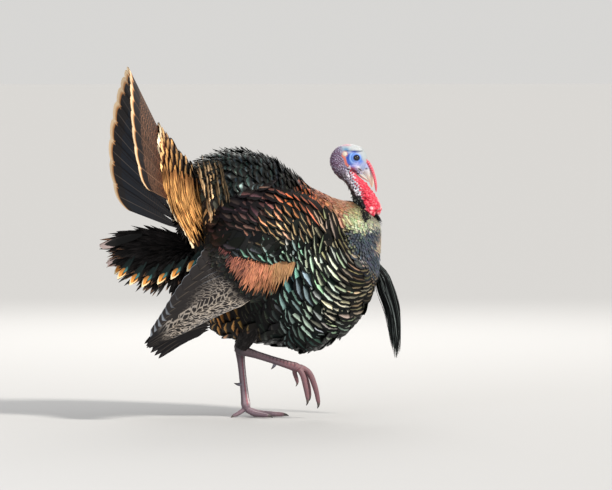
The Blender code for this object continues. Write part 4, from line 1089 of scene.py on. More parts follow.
def tailMaterial():
    made, tree, shader = newMaterial("tailVane", 0.6)
    shader.inputs["Specular IOR Level"].default_value = 0.08
    across, along, _ = splitNode(tree, attributeNode(tree, "feather", "Vector"))
    isBack, chance, _ = splitNode(tree, attributeNode(tree, "par", "Vector"))
    off = mathNode(tree, "ABSOLUTE", mathNode(tree, "SUBTRACT", across, 0.5))
    wobble = mathNode(tree, "MULTIPLY", noiseNode(tree, 110.0, 3.0), 6.0)
    phase = mathNode(tree, "ADD", mathNode(tree, "MULTIPLY", along, 235.0),
                     mathNode(tree, "ADD",
                              mathNode(tree, "ADD", wobble, mathNode(tree, "MULTIPLY", chance, 9.0)),
                              mathNode(tree, "MULTIPLY", off, 4.0)))
    bar = stepNode(tree, -0.2, 0.9, mathNode(tree, "SINE", phase))
    barred = mixColour(tree, bar, (0.008, 0.005, 0.004), (0.165, 0.058, 0.028))
    greyer = mixColour(tree, bar, (0.012, 0.008, 0.007), (0.185, 0.092, 0.056))
    front = mixColour(tree, stepNode(tree, 0.5, 0.72, along), barred, greyer)
    # the back faces are navy-black: their dull dark colour deepened as painted shade
    rear = mixColour(tree, mathNode(tree, "MULTIPLY", bar, stepNode(tree, 0.75, 0.35, along)),
                     (0.008, 0.011, 0.018), (0.03, 0.022, 0.02))
    curve = mathNode(tree, "ADD", along,
                     mathNode(tree, "MULTIPLY", mathNode(tree, "MULTIPLY", off, off), 0.04))
    colour = mixColour(tree, isBack, front, rear)
    # painted shade: each feather darkened nearly to black along both edges, where it meets its neighbour
    colour = mixColour(tree, mathNode(tree, "MULTIPLY", stepNode(tree, 0.42, 0.5, off), 0.85), colour,
                       (0.008, 0.005, 0.005))
    colour = mixColour(tree, stepNode(tree, 0.835, 0.85, curve), colour, (0.01, 0.008, 0.009))
    edgeLine = mathNode(tree, "MULTIPLY", stepNode(tree, 0.355, 0.375, off), stepNode(tree, 0.41, 0.385, off))
    colour = mixColour(tree, mathNode(tree, "MULTIPLY", edgeLine, mathNode(tree, "SUBTRACT", 0.75, isBack)),
                       colour, (0.22, 0.13, 0.085))
    cream = mixColour(tree, stepNode(tree, 0.955, 0.985, curve), (0.46, 0.2, 0.065), (0.8, 0.6, 0.38))
    colour = mixColour(tree, stepNode(tree, 0.945, 0.957, curve), colour, cream)
    shaft = mathNode(tree, "MULTIPLY", stepNode(tree, 0.02, 0.008, off), stepNode(tree, 0.98, 0.9, along))
    colour = mixColour(tree, mathNode(tree, "MULTIPLY", shaft, 0.7), colour,
                       mixColour(tree, isBack, (0.03, 0.02, 0.015), (0.14, 0.11, 0.09)))
    comb = mathNode(tree, "SINE", mathNode(tree, "ADD", mathNode(tree, "MULTIPLY", along, 1900.0),
                                           mathNode(tree, "MULTIPLY", off, -800.0)))
    bright = mathNode(tree, "ADD", mathNode(tree, "MULTIPLY", comb, 0.08),
                      mathNode(tree, "ADD", mathNode(tree, "MULTIPLY", chance, 0.25), 0.85))
    grey = tree.nodes.new("ShaderNodeCombineXYZ")
    for socket in grey.inputs:
        tree.links.new(bright, socket)
    tree.links.new(mixColour(tree, 1.0, colour, grey.outputs[0], "MULTIPLY"), shader.inputs["Base Color"])
    return made


# Rows of the upper coverts: share of their radius, forward offset, length, width, pitch, base, band, tip,
# band start, tip start.
covertRows = [
    (1.0, 0.006, 0.075, 0.036, 0.024, (0.05, 0.018, 0.01), (0.16, 0.045, 0.022), (0.86, 0.7, 0.48), 0.55,
     0.86),
    (0.95, 0.0085, 0.07, 0.04, 0.028, (0.05, 0.018, 0.01), (0.14, 0.04, 0.018), (0.74, 0.46, 0.2), 0.55,
     0.86),
    (0.89, 0.011, 0.07, 0.056, 0.04, (0.04, 0.015, 0.01), (0.74, 0.38, 0.13), (0.05, 0.02, 0.01), 0.78, 0.95),
    (0.82, 0.014, 0.068, 0.066, 0.046, (0.03, 0.012, 0.008), (0.76, 0.39, 0.13), (0.04, 0.018, 0.01), 0.76,
     0.94),
    (0.75, 0.018, 0.066, 0.07, 0.048, (0.02, 0.01, 0.007), (0.74, 0.38, 0.12), (0.03, 0.014, 0.008), 0.76,
     0.93),
    (0.68, 0.0225, 0.064, 0.07, 0.048, (0.015, 0.008, 0.006), (0.72, 0.37, 0.12), (0.02, 0.012, 0.008), 0.78,
     0.93),
    (0.61, 0.0275, 0.06, 0.068, 0.046, (0.01, 0.007, 0.005), (0.7, 0.38, 0.14), (0.02, 0.012, 0.008), 0.8,
     0.93),
    (0.54, 0.0335, 0.056, 0.064, 0.044, (0.008, 0.006, 0.005), (0.68, 0.39, 0.16), (0.015, 0.01, 0.008),
     0.82, 0.93),
    (0.47, 0.0405, 0.054, 0.06, 0.042, (0.007, 0.006, 0.005), (0.66, 0.39, 0.17), (0.01, 0.008, 0.007), 0.83,
     0.93),
    (0.4, 0.049, 0.05, 0.054, 0.038, (0.006, 0.006, 0.005), (0.64, 0.38, 0.17), (0.01, 0.008, 0.007), 0.84,
     0.93),
    (0.33, 0.06, 0.048, 0.048, 0.034, (0.006, 0.006, 0.005), (0.62, 0.37, 0.17), (0.01, 0.008, 0.007), 0.85,
     0.93),
]


def covertReach(angle):
    return covertRadius * (1 - 0.22 * smooth(0.9, 2.1, np.abs(angle)))


def covertFeathers():
    rng = np.random.default_rng(67)
    found = []
    for number, (share, forward, length, width, pitch, base, band, tip, bandStart,
                 tipStart) in enumerate(covertRows):
        radius = share * covertRadius
        count = int(2 * covertSpread * radius / pitch)
        angle = ((np.arange(count) + 0.5 * (number % 2) + rng.uniform(-0.25, 0.25, count)) / count * 2
                 * covertSpread - covertSpread)
        angle = np.clip(angle, -covertSpread, covertSpread)
        reach = share * covertReach(angle) - rng.uniform(0, 0.004, count)
        lengths = length * rng.uniform(0.92, 1.06, count)
        tips = fanPoint(reach, angle, forward)
        inner = np.maximum(reach - lengths, 0.02)
        roots = fanPoint(inner, angle + rng.normal(0, 0.02, count), forward + 0.0005 - 0.05 * lengths)
        step = 0.03
        side = fanPoint(reach * 0.8, angle + step, forward) - fanPoint(reach * 0.8, angle - step, forward)
        up = unit(np.cross(tips - roots, side))
        up *= np.where(up[:, 0] < 0, -1, 1)[:, None]
        tint = 1 + 0.22 * rng.uniform(-1, 1, (count, 1))
        found.append({"root": roots, "tip": tips, "up": unit(up + 0.05 * rng.normal(0, 1, (count, 3))),
                      "width": width * rng.uniform(0.9, 1.1, count),
                      "variant": pickBlades(rng, "broad", count), "curl": rng.uniform(0.0, 0.06, count),
                      "rootUV": np.column_stack([(angle + covertSpread) / (2 * covertSpread),
                                                 np.full(count, share)]),
                      "colA": np.array(base) * tint, "colB": np.array(band) * tint,
                      "colC": np.array(tip) * tint,
                      "par": np.column_stack([bandStart + rng.uniform(-0.03, 0.03, count),
                                              tipStart + rng.uniform(-0.02, 0.02, count),
                                              rng.uniform(0, 1, count)])})
    return joinTracts(*found)


def plumeFeathers():
    # long tan plumes that hang down over the sides of the fan of coverts
    rng = np.random.default_rng(69)
    count = 620
    sign = np.where(rng.random(count) < 0.5, 1, -1)
    share = rng.uniform(0.34, 1.0, count) ** 0.75
    angle = rng.uniform(1.22, covertSpread, count)
    reach = share * covertReach(angle)
    forward = table(share, [(row[0], row[1]) for row in covertRows[::-1]]) + rng.uniform(0.001, 0.005, count)
    length = rng.uniform(0.05, 0.076, count)
    above = np.maximum(angle - length / reach, 0.8)
    tips = fanPoint(reach, sign * angle, forward)
    roots = fanPoint(reach * 0.99, sign * above, forward + 0.002)
    ahead = np.array((math.cos(tail["lean"]), 0, math.sin(tail["lean"])))
    dim = rng.uniform(0.35, 1.15, (count, 1)) * (1 - 0.75 * smooth(0.66, 0.46, share))[:, None]
    return {"root": roots, "tip": tips, "up": unit(ahead + 0.12 * rng.normal(0, 1, (count, 3))),
            "width": rng.uniform(0.008, 0.014, count),
            "variant": pickBlades(rng, "lance", count), "curl": rng.uniform(-0.02, 0.05, count),
            "rootUV": np.column_stack([(sign * angle + covertSpread) / (2 * covertSpread), share]),
            "colA": np.array((0.3, 0.13, 0.045)) * dim, "colB": np.array((0.74, 0.38, 0.13)) * dim,
            "colC": np.array((0.62, 0.3, 0.1)) * dim,
            "par": np.column_stack([np.full(count, 0.3), np.full(count, 0.93), rng.uniform(0.3, 1, count)])}


under = {"root": (-0.118, 0.0, 0.412), "radius": 0.232, "spread": math.radians(84)}


def underPoint(share, turn):
    share, turn = np.asarray(share, float), np.asarray(turn, float)
    drop = 0.56 * np.sin(np.minimum(np.pi / 2, 1.35 * np.abs(turn)))
    reach = 0.012 + (under["radius"] - 0.014) * share
    x = under["root"][0] - np.cos(turn) * reach
    z = under["root"][2] - drop * reach + 0.03 * np.sin(np.pi * np.clip(share, 0, 1))
    return np.stack([x, 0.72 * np.sin(turn) * reach, z], -1)


def underFeathers():
    rng = np.random.default_rng(71)
    found = []
    for number, share in enumerate(np.linspace(1.0, 0.14, 20)):
        count = max(12, int(2 * under["spread"] * (0.012 + under["radius"] * share) / 0.0085))
        turn = ((np.arange(count) + 0.5 * (number % 2) + rng.uniform(-0.5, 0.5, count)) / count * 2
                * under["spread"] - under["spread"])
        at = share - rng.uniform(0, 0.12, count)
        length = 0.074 * rng.uniform(0.8, 1.2, count)
        tip = underPoint(at, turn) + rng.uniform(-0.004, 0.004, (count, 3)) * (0.4, 1, 1)
        root = (underPoint(np.maximum(at - length / under["radius"], 0), turn) - np.array([0, 0, 1])
                * (0.14 * length)[:, None])
        side = underPoint(at, turn + 0.03) - underPoint(at, turn - 0.03)
        up = unit(np.cross(tip - root, side))
        up *= np.where(up[:, 2] < 0, -1, 1)[:, None]
        last = (number < 2) & (rng.random(count) < 0.5)
        tint = 1 + 0.35 * rng.uniform(-1, 1, (count, 1))
        found.append({"root": root, "tip": tip, "up": unit(up + 0.15 * rng.normal(0, 1, (count, 3))),
                      "width": 0.01 * rng.uniform(0.6, 1.4, count),
                      "variant": pickBlades(rng, "lance", count), "curl": rng.uniform(-0.08, 0.1, count),
                      "rootUV": np.column_stack([(turn / under["spread"] + 1) / 2, np.full(count, share)]),
                      "colA": np.tile((0.008, 0.007, 0.007), (count, 1)) * tint,
                      "colB": np.tile((0.015, 0.013, 0.013), (count, 1)) * tint,
                      "colC": np.where(last[:, None], (0.2, 0.11, 0.07), (0.01, 0.009, 0.009)) * tint,
                      "par": np.column_stack([np.full((count, 2), (0.6, 0.9)), rng.uniform(0, 1, count)])})
    # six crescents on each side, and two long square ends
    for sign in (1, -1):
        turn = np.array((0.6, 0.76, 0.9, 1.06, 1.2, 1.38)) * sign
        at = np.array((0.99, 0.97, 0.94, 0.88, 0.82, 0.73))
        for shift, width, start, low, band, end in (((0, 0, 0), 0.0185, 0.45, (0.006, 0.012, 0.012),
                                                     (0.82, 0.33, 0.07), (0.88, 0.7, 0.42)),
                                                    ((0.009, 0, 0.008), 0.007, 0.55, (0.006, 0.012, 0.012),
                                                     (0.06, 0.2, 0.2), (0.005, 0.008, 0.008))):
            tip = underPoint(at, turn) + np.array((0, sign * 0.012, 0.004)) + np.array(shift)
            root = tip + np.tile((0.028, -sign * 0.01, 0.046), (6, 1))
            found.append({"root": root, "tip": tip,
                          "up": np.tile(unit(np.array((-0.35, sign * 0.85, 0.25))), (6, 1)),
                          "width": np.full(6, width),
                          "variant": pickBlades(rng, "lance", 6), "curl": np.full(6, 0.12),
                          "rootUV": np.column_stack([(turn / under["spread"] + 1) / 2, at]),
                          "colA": np.tile(low, (6, 1)), "colB": np.tile(band, (6, 1)),
                          "colC": np.tile(end, (6, 1)),
                          "par": np.tile((start, 0.88, 0.55), (6, 1))})
        tip = np.array(((-0.346, sign * 0.024, 0.398), (-0.33, sign * 0.04, 0.358)))
        root = np.array(((-0.25, sign * 0.03, 0.424), (-0.24, sign * 0.052, 0.384)))
        found.append({"root": root, "tip": tip, "up": np.tile(unit(np.array((0, sign * 0.7, 0.7))), (2, 1)),
                      "width": np.full(2, 0.024),
                      "variant": pickBlades(rng, "broad", 2), "curl": np.full(2, -0.02),
                      "rootUV": np.tile((0.5 + sign * 0.1, 0.9), (2, 1)),
                      "colA": np.tile((0.01, 0.01, 0.01), (2, 1)),
                      "colB": np.tile((0.02, 0.018, 0.018), (2, 1)),
                      "colC": np.tile((0.6, 0.47, 0.44), (2, 1)),
                      "par": np.tile((0.6, 0.87, 0.6), (2, 1))})
    return joinTracts(*found)


# skin: neck, head, caruncles, legs and toes as one piece
# Neck and head sections from inside the feathered rim to the bill: back x, z, front x, z, half width.
headStations = [
    (0.248, 0.478, 0.296, 0.437, 0.025), (0.24, 0.499, 0.286, 0.467, 0.026),
    (0.233, 0.52, 0.268, 0.499, 0.0215),
    (0.219, 0.543, 0.25, 0.523, 0.0195), (0.2035, 0.5545, 0.236, 0.541, 0.019),
    (0.191, 0.57, 0.23, 0.557, 0.019),
    (0.1845, 0.589, 0.228, 0.566, 0.019), (0.1885, 0.608, 0.23, 0.569, 0.0195),
    (0.2025, 0.623, 0.234, 0.569, 0.0205),
    (0.221, 0.6295, 0.239, 0.568, 0.021), (0.239, 0.6285, 0.245, 0.564, 0.02),
    (0.2555, 0.623, 0.251, 0.56, 0.0175),
    (0.2665, 0.611, 0.2555, 0.559, 0.0142), (0.271, 0.5975, 0.259, 0.562, 0.0108),
]
wattleStations = [
    (0.227, 0.568, 0.242, 0.568, 0.012), (0.232, 0.549, 0.251, 0.5555, 0.017),
    (0.242, 0.527, 0.2675, 0.5375, 0.0195),
    (0.253, 0.508, 0.2815, 0.5185, 0.0215), (0.261, 0.489, 0.2935, 0.5, 0.024),
    (0.268, 0.476, 0.299, 0.486, 0.022),
    (0.275, 0.47, 0.294, 0.477, 0.011),
]
snoodPath = [(0.26, 0, 0.5935), (0.2705, -0.001, 0.5885), (0.2795, -0.0045, 0.574), (0.2845, -0.01, 0.559),
             (0.2878, -0.012, 0.544), (0.2895, -0.0125, 0.531), (0.2897, -0.0125, 0.52)]
snoodSizes = [(0.0044, 0.0054), (0.0044, 0.005), (0.0038, 0.0044), (0.0035, 0.0038), (0.0033, 0.0036),
              (0.0028, 0.003), (0.0012, 0.0014)]


def stationLoft(rows, first, last, steps, around, square):
    s, u = np.linspace(first, last, steps), np.linspace(0, 2 * np.pi, around, endpoint=False)
    ss, uu = (g.ravel() for g in np.meshgrid(s, u, indexing="ij"))
    return sectionPoint(rows, ss, uu, square).reshape(steps, around, 3)


def tubeLoft(path, sizes, steps, around, floor=None):
    # rings across a smooth path; sizes are half depth and half width
    t = np.linspace(0, len(path) - 1, steps)
    centre, size = catmull(path, t), catmull(sizes, t * (len(sizes) - 1) / (len(path) - 1))
    ahead = unit(np.gradient(centre, axis=0))
    across = np.where(np.abs(ahead[:, 1:2]) < 0.85, (0.0, 1.0, 0.0), (1.0, 0.0, 0.0))
    side = unit(across - ahead * (across * ahead).sum(1, keepdims=True))
    lift = np.cross(side, ahead)
    turn = np.linspace(0, 2 * np.pi, around, endpoint=False)
    rings = (centre[:, None] + lift[:, None] * (np.cos(turn)[None, :, None] * size[:, None, :1])
             + side[:, None] * (np.sin(turn)[None, :, None] * size[:, None, 1:]))
    if floor is not None:
        rings[..., 2] = np.maximum(rings[..., 2], floor)
    return rings


def closedLoft(rings):
    # points and faces of the rings with a fan over each end
    steps, around = rings.shape[:2]
    points = np.concatenate([rings.reshape(-1, 3), rings[:1].mean(1), rings[-1:].mean(1)])
    faces = [tuple(f) for f in gridFaces(steps, around, 0, True)]
    first, last, base = len(points) - 2, len(points) - 1, (steps - 1) * around
    for k in range(around):
        faces += [(first, (k + 1) % around, k), (last, base + k, base + (k + 1) % around)]
    return points, faces


def blob(centre, radius, squash=(1, 1, 1), rings=8, around=12):
    a, b = np.linspace(0.15, np.pi - 0.15, rings), np.linspace(0, 2 * np.pi, around, endpoint=False)
    aa, bb = np.meshgrid(a, b, indexing="ij")
    shape = (np.stack([np.sin(aa) * np.cos(bb), np.sin(aa) * np.sin(bb), np.cos(aa)], -1) * radius
             * np.array(squash))
    return closedLoft(shape + np.array(centre))


def joinedMesh(name, parts):
    points, faces, start = [], [], 0
    for p, f in parts:
        points.append(p)
        faces += [tuple(int(i) + start for i in face) for face in f]
        start += len(p)
    mesh = meshFrom(name, np.concatenate(points), faces)
    work = bmesh.new()
    work.from_mesh(mesh)
    bmesh.ops.recalc_face_normals(work, faces=work.faces)
    work.to_mesh(mesh)
    work.free()
    return mesh


def remeshed(name, parts, voxel, softening):
    # overlapping closed shapes fused into one even surface
    obj = addObject(name, joinedMesh(name, parts))
    step = obj.modifiers.new("Fuse", "REMESH")
    step.mode, step.voxel_size = "VOXEL", voxel
    ease = obj.modifiers.new("Ease", "SMOOTH")
    ease.factor, ease.iterations = 0.5, softening
    return applied(obj)


def meshArrays(mesh):
    points, normals = np.empty(len(mesh.vertices) * 3), np.empty(len(mesh.vertices) * 3)
    mesh.vertices.foreach_get("co", points)
    mesh.vertices.foreach_get("normal", normals)
    return points.reshape(-1, 3), normals.reshape(-1, 3)


def nearLine(x, z, path):
    # distance in the side view to a line through the path, and the share run along it
    path = np.asarray(path, float)
    best, share = np.full(len(x), 1e9), np.zeros(len(x))
    for k in range(len(path) - 1):
        start, run = path[k], path[k + 1] - path[k]
        t = np.clip(((x - start[0]) * run[0] + (z - start[1]) * run[1]) / (run @ run), 0, 1)
        d = np.hypot(x - start[0] - t * run[0], z - start[1] - t * run[1])
        share = np.where(d < best, (k + t) / (len(path) - 1), share)
        best = np.minimum(best, d)
    return best, share


def pebbles(points, seeds, radius, height):
    # a rounded bump over each seed
    tree = KDTree(len(seeds))
    for k, seed in enumerate(seeds):
        tree.insert(seed, k)
    tree.balance()
    rise = np.zeros(len(points))
    for k, p in enumerate(points):
        _, which, distance = tree.find(p)
        reach = radius[which]
        if distance < reach:
            rise[k] = height[which] * (1 - (distance / reach) ** 2)
    return rise


def scatterSeeds(points, weight, spacing, rng):
    # points of the surface no nearer each other than the spacing
    order = rng.permutation(len(points))
    chosen, grid = [], {}
    for k in order:
        if rng.random() > weight[k]:
            continue
        key = tuple((points[k] // spacing).astype(int))
        near = [grid.get((key[0] + a, key[1] + b, key[2] + c)) for a in (-1, 0, 1) for b in (-1, 0, 1)
                for c in (-1, 0, 1)]
        if all(n is None or np.linalg.norm(points[k] - n) > spacing for n in near):
            grid[key] = points[k]
            chosen.append(points[k])
    return np.array(chosen)


def blend(colour, target, mask):
    return colour + (np.array(target) - colour) * np.clip(mask, 0, 1)[:, None]


wattleFront = [(0.24, 0.5665), (0.251, 0.5555), (0.2675, 0.5375), (0.2815, 0.5185), (0.2935, 0.5),
               (0.3, 0.484), (0.295, 0.469)]
wattleDepth = ((0, 0.012), (0.17, 0.018), (0.33, 0.025), (0.5, 0.029), (0.67, 0.032), (0.83, 0.036),
               (1, 0.036))


def spot(x, z, at, reach):
    # a soft round patch in the side view
    return np.exp(-(((x - at[0]) / reach[0]) ** 2 + ((z - at[1]) / reach[1]) ** 2))


def headSkin():
    rng = np.random.default_rng(5)
    last = len(headStations) - 1
    parts = [closedLoft(stationLoft(headStations, 0, last, 90, 48, 2.05)),
             closedLoft(stationLoft(wattleStations, 0, 6, 40, 32, 2.0)),
             closedLoft(tubeLoft(snoodPath, snoodSizes, 46, 16))]
    for sign in (1, -1):
        ring = np.linspace(0, 2 * np.pi, 28, endpoint=False)
        lid = np.stack([eyeAt[0] + 0.0068 * np.cos(ring), np.full(28, sign * 0.019),
                        eyeAt[2] + 0.0061 * np.sin(ring)], 1)
        lid[:, 1] -= sign * 0.001 * np.cos(ring)
        parts += [blob(p, 0.0017, rings=5, around=8) for p in lid]
        for place, radius, shape in (((0.2175, 0.0175, 0.6055), 0.006, (0.9, 0.55, 1.2)),
                                     ((0.242, 0.0115, 0.6165), 0.012, (1.5, 0.75, 0.45)),
                                     ((0.24, 0.0115, 0.576), 0.011, (1.5, 0.75, 0.8)),
                                     ((0.235, 0.004, 0.566), 0.012, (1.2, 0.8, 0.8)),
                                     ((0.2745, 0.023, 0.4745), 0.0118, (0.95, 0.85, 1.25)),
                                     ((0.266, 0.019, 0.49), 0.011, (0.9, 0.8, 1.2)),
                                     ((0.26, 0.003, 0.595), 0.008, (1.2, 0.8, 0.8))):
            parts.append(blob((place[0], sign * place[1], place[2]), radius, shape))
    parts.append(blob((0.2935, 0.0, 0.48), 0.0098, (0.85, 0.9, 1.25)))
    obj = remeshed("head_skin", parts, 0.00105, 3)
    mesh = obj.data
    points, normals = meshArrays(mesh)
    x, y, z = points.T
    # where things are, in the side view
    toFront, along = nearLine(x, z, wattleFront)
    depth = table(along, wattleDepth)
    underCheek = smooth(0.0015, -0.0015, z - (0.5764 - 0.815 * (x - 0.2237)))
    red = smooth(depth + 0.0015, depth - 0.0015, toFront) * underCheek
    snoodDistance, snoodShare = nearLine(x, z, [(p[0], p[2]) for p in snoodPath])
    snoodMask = smooth(0.0062, 0.0048, snoodDistance) * smooth(0.2655, 0.2705, x) * (z > 0.5)
    red *= 1 - snoodMask
    border = (np.exp(-(((toFront - depth - 0.0002) / 0.0058) ** 2)) * smooth(0.59, 0.58, z)
              * smooth(0.506, 0.522, z) * (x < 0.268)
              * np.maximum(smooth(0.5695, 0.5655, z), smooth(0.232, 0.226, x)))
    nape = smooth(0.223, 0.207, x + 0.25 * (z - 0.59)) * smooth(0.53, 0.56, z) * (1 - red)
    lowNeck = (smooth(0.572, 0.55, z) * (1 - red) * (1 - snoodMask)
               * smooth(0.25, 0.244, x - 0.034 * smooth(0.545, 0.522, z)))
    side = smooth(0.004, 0.01, np.abs(y))
    eyeX, eyeZ = x - eyeAt[0], z - eyeAt[2]
    eyeRing = np.hypot(eyeX / 1.08, eyeZ)
    onEye = smooth(0.01, 0.014, np.abs(y))
    folds = [(red, 0.0036, (0.002, 0.0034), (0.0009, 0.0021)),
             (border, 0.0043, (0.0021, 0.0034), (0.0016, 0.003)),
             (np.clip(nape + lowNeck, 0, 1), 0.003, (0.0014, 0.0023), (0.0005, 0.0013)),
             (red * smooth(0.3, 0.7, along), 0.0085, (0.0052, 0.0076), (0.0012, 0.003))]
    rises = []
    for mask, spacing, reach, height in folds:
        seeds = scatterSeeds(points, mask, spacing, rng)
        rises.append(pebbles(points, seeds, rng.uniform(*reach, len(seeds)),
                             rng.uniform(*height, len(seeds))))
    bigRise, borderRise, fineRise, lumpRise = rises
    mouth, _ = nearLine(x, z, [(0.249, 0.5735), (0.257, 0.568), (0.264, 0.56), (0.269, 0.554)])
    groove = smooth(0.0022, 0.0004, mouth)
    ridge = np.sin((x * 0.5 + z * 0.87) * 1370 + 1.6 * np.sin(x * 260 + y * 180) + 1.2 * np.sin(z * 310))
    rise = ((bigRise * (1 - 0.45 * smooth(0.6, 0.8, along)) + lumpRise) * red + borderRise * (1 - 0.5 * red)
            + fineRise * np.clip(nape + lowNeck, 0, 1) + 0.0006 * ridge * nape)
    rise -= groove * 0.0011 * (1 - snoodMask)
    rise -= (0.0008 * np.exp(-(((eyeRing - 0.0118) / 0.001) ** 2)) * onEye + 0.0005
             * np.exp(-(((eyeRing - 0.015) / 0.0008) ** 2)) * onEye)
    rise += 0.0005 * np.sin(snoodShare * 110) * snoodMask
    points = points + normals * rise[:, None]
    points[:, 1] -= np.sign(points[:, 1]) * 0.0045 * smooth(0.0058, 0.0048, eyeRing) * onEye
    mesh.vertices.foreach_set("co", points.ravel())
    # colour, from the base up
    mottle = np.sin(x * 900 + 4 * np.sin(z * 500)) * np.sin(z * 800 + y * 700) * 0.5 + 0.5
    colour = np.tile((0.3, 0.38, 0.58), (len(x), 1)).astype(float)
    face = smooth(0.0205, 0.015, np.hypot((x - 0.2375) / 1.05, z - 0.5935)) * side
    line, _ = nearLine(x, z, [(0.212, 0.604), (0.2165, 0.5975), (0.22, 0.585), (0.229, 0.574), (0.24, 0.566),
                              (0.252, 0.556), (0.262, 0.548)])
    ear = np.hypot((x - 0.217) / 1.05 + 0.0008 * np.sin(z * 1500), z - 0.6078 + 0.0008 * np.sin(x * 1700))
    ridged = np.clip(0.5 + 0.5 * ridge, 0, 1)
    layers = [
        ((0.5, 0.53, 0.55), smooth(0.6, 0.618, z) * smooth(0.2, 0.225, x)),
        ((0.4, 0.44, 0.46), smooth(0.25, 0.262, x) * smooth(0.58, 0.59, z)),
        ((0.58, 0.2, 0.28), smooth(0.6235, 0.6285, z) * 0.7 * smooth(0.238, 0.224, x)),
        ((0.1, 0.26, 0.42), spot(x, z, (0.22, 0.618), (0.008, 0.005))),
        ((0.02, 0.05, 0.12), spot(x, z, (0.2235, 0.615), (0.008, 0.0016)) * 0.9), ((0.03, 0.125, 0.56), face),
        ((0.26, 0.46, 0.86), np.exp(-(((eyeRing - 0.0138) / 0.0018) ** 2)) * smooth(0.004, -0.008, eyeX)
         * face),
        ((0.2, 0.38, 0.84), np.exp(-(((eyeRing - 0.0092) / 0.0013) ** 2)) * 0.75 * side),
        ((0.42, 0.44, 0.8), spot(x, z, (0.245, 0.585), (0.011, 0.0055)) * side * (0.5 + 0.5 * mottle)),
        ((0.62, 0.62, 0.86), spot(x, z, (0.242, 0.5812), (0.009, 0.0022)) * side * (0.4 + 0.6 * mottle)),
        ((0.01, 0.045, 0.36), spot(x, z, (0.2235, 0.602), (0.0035, 0.01)) * side),
        ((0.012, 0.05, 0.4), spot(x, z, (0.238, 0.613), (0.01, 0.0022)) * side),
        ((0.08, 0.2, 0.62), spot(x, z, (0.257, 0.59), (0.004, 0.004)) * 0.9),
        ((0.34, 0.38, 0.66), spot(x, z, (0.261, 0.586), (0.004, 0.006)) * 0.8),
        ((0.3, 0.08, 0.2), spot(x, z, (0.236, 0.5745), (0.012, 0.0045)) * side),
        ((0.62, 0.56, 0.66), spot(x, z, (0.247, 0.5775), (0.006, 0.0022)) * side),
        ((0.6, 0.56, 0.62), smooth(0.0038, 0.0022, mouth) * (1 - groove) * 0.8),
        # painted shade: the mouth's groove is near-black
        ((0.015, 0.008, 0.014), groove),
        ((0.012, 0.009, 0.016), np.exp(-(((eyeRing - 0.0058) / 0.0013) ** 2)) * onEye),
        ((0.012, 0.009, 0.016), smooth(0.006, 0.0052, eyeRing) * onEye),
        ((0.1, 0.045, 0.1), nape), ((0.34, 0.22, 0.37), nape * ridged * (0.35 + 0.65 * mottle)),
        ((0.56, 0.6, 0.76), nape * smooth(0.0005, 0.001, fineRise) * (0.3 + 0.7 * mottle) * 0.95),
        ((0.05, 0.02, 0.05), nape * smooth(0.0003, 0.0, fineRise) * 0.6),
        ((0.015, 0.01, 0.018), nape * smooth(0.59, 0.565, z) * smooth(0.0008, 0.0002, fineRise) * 0.8),
        ((0.2, 0.03, 0.07), smooth(0.0056, 0.0034, line) * smooth(0.222, 0.23, x)),
        ((0.62, 0.16, 0.12), smooth(0.0036, 0.002, line) * smooth(0.236, 0.226, x)),
        ((0.55, 0.15, 0.11), smooth(0.0078, 0.006, ear) * 0.6),
        ((0.66, 0.6, 0.5), smooth(0.006, 0.0038, ear)),
        ((0.018, 0.012, 0.018), lowNeck),
        ((0.42, 0.38, 0.5), lowNeck * smooth(0.0005, 0.001, fineRise) * smooth(0.515, 0.54, z)
         * (0.3 + 0.7 * mottle)),
        # the wattle: its red is darker between the bumps, painted crease shade, and pink to white-pink on the
        # bump tops and big lower lumps, painted highlights
        ((0.42, 0.006, 0.026), red), ((0.78, 0.026, 0.07), red * smooth(0.0001, 0.0007, bigRise)),
        ((0.98, 0.3, 0.34), red * smooth(0.0011, 0.002, bigRise) * (0.25 + 0.4 * mottle)),
        ((1.0, 0.5, 0.52), red * smooth(0.0012, 0.0024, lumpRise) * smooth(0.55, 0.75, along) * 0.75),
        ((0.04, 0.02, 0.04), np.clip(border * 1.5, 0, 1) * (1 - red) * smooth(0.0004, 0.0, borderRise)
         * 0.95), ((0.8, 0.5, 0.62), smooth(0.0002, 0.0007, borderRise) * np.clip(border * 2, 0, 1)),
         ((0.74, 0.86, 0.95), smooth(0.0007, 0.0012, borderRise) * np.clip(border * 2, 0, 1)),
        ((0.62, 0.035, 0.08), snoodMask),
        ((0.9, 0.34, 0.38), snoodMask * (0.25 + 0.35 * np.sin(snoodShare * 110))),
    ]
    for target, mask in layers:
        colour = blend(colour, target, mask)
    setColour(mesh, "skinColour", colour * (0.92 + 0.1 * (mottle - 0.5))[:, None])
    wet = 0.5 - 0.12 * red - 0.08 * snoodMask
    setGloss(mesh, wet)
    return obj


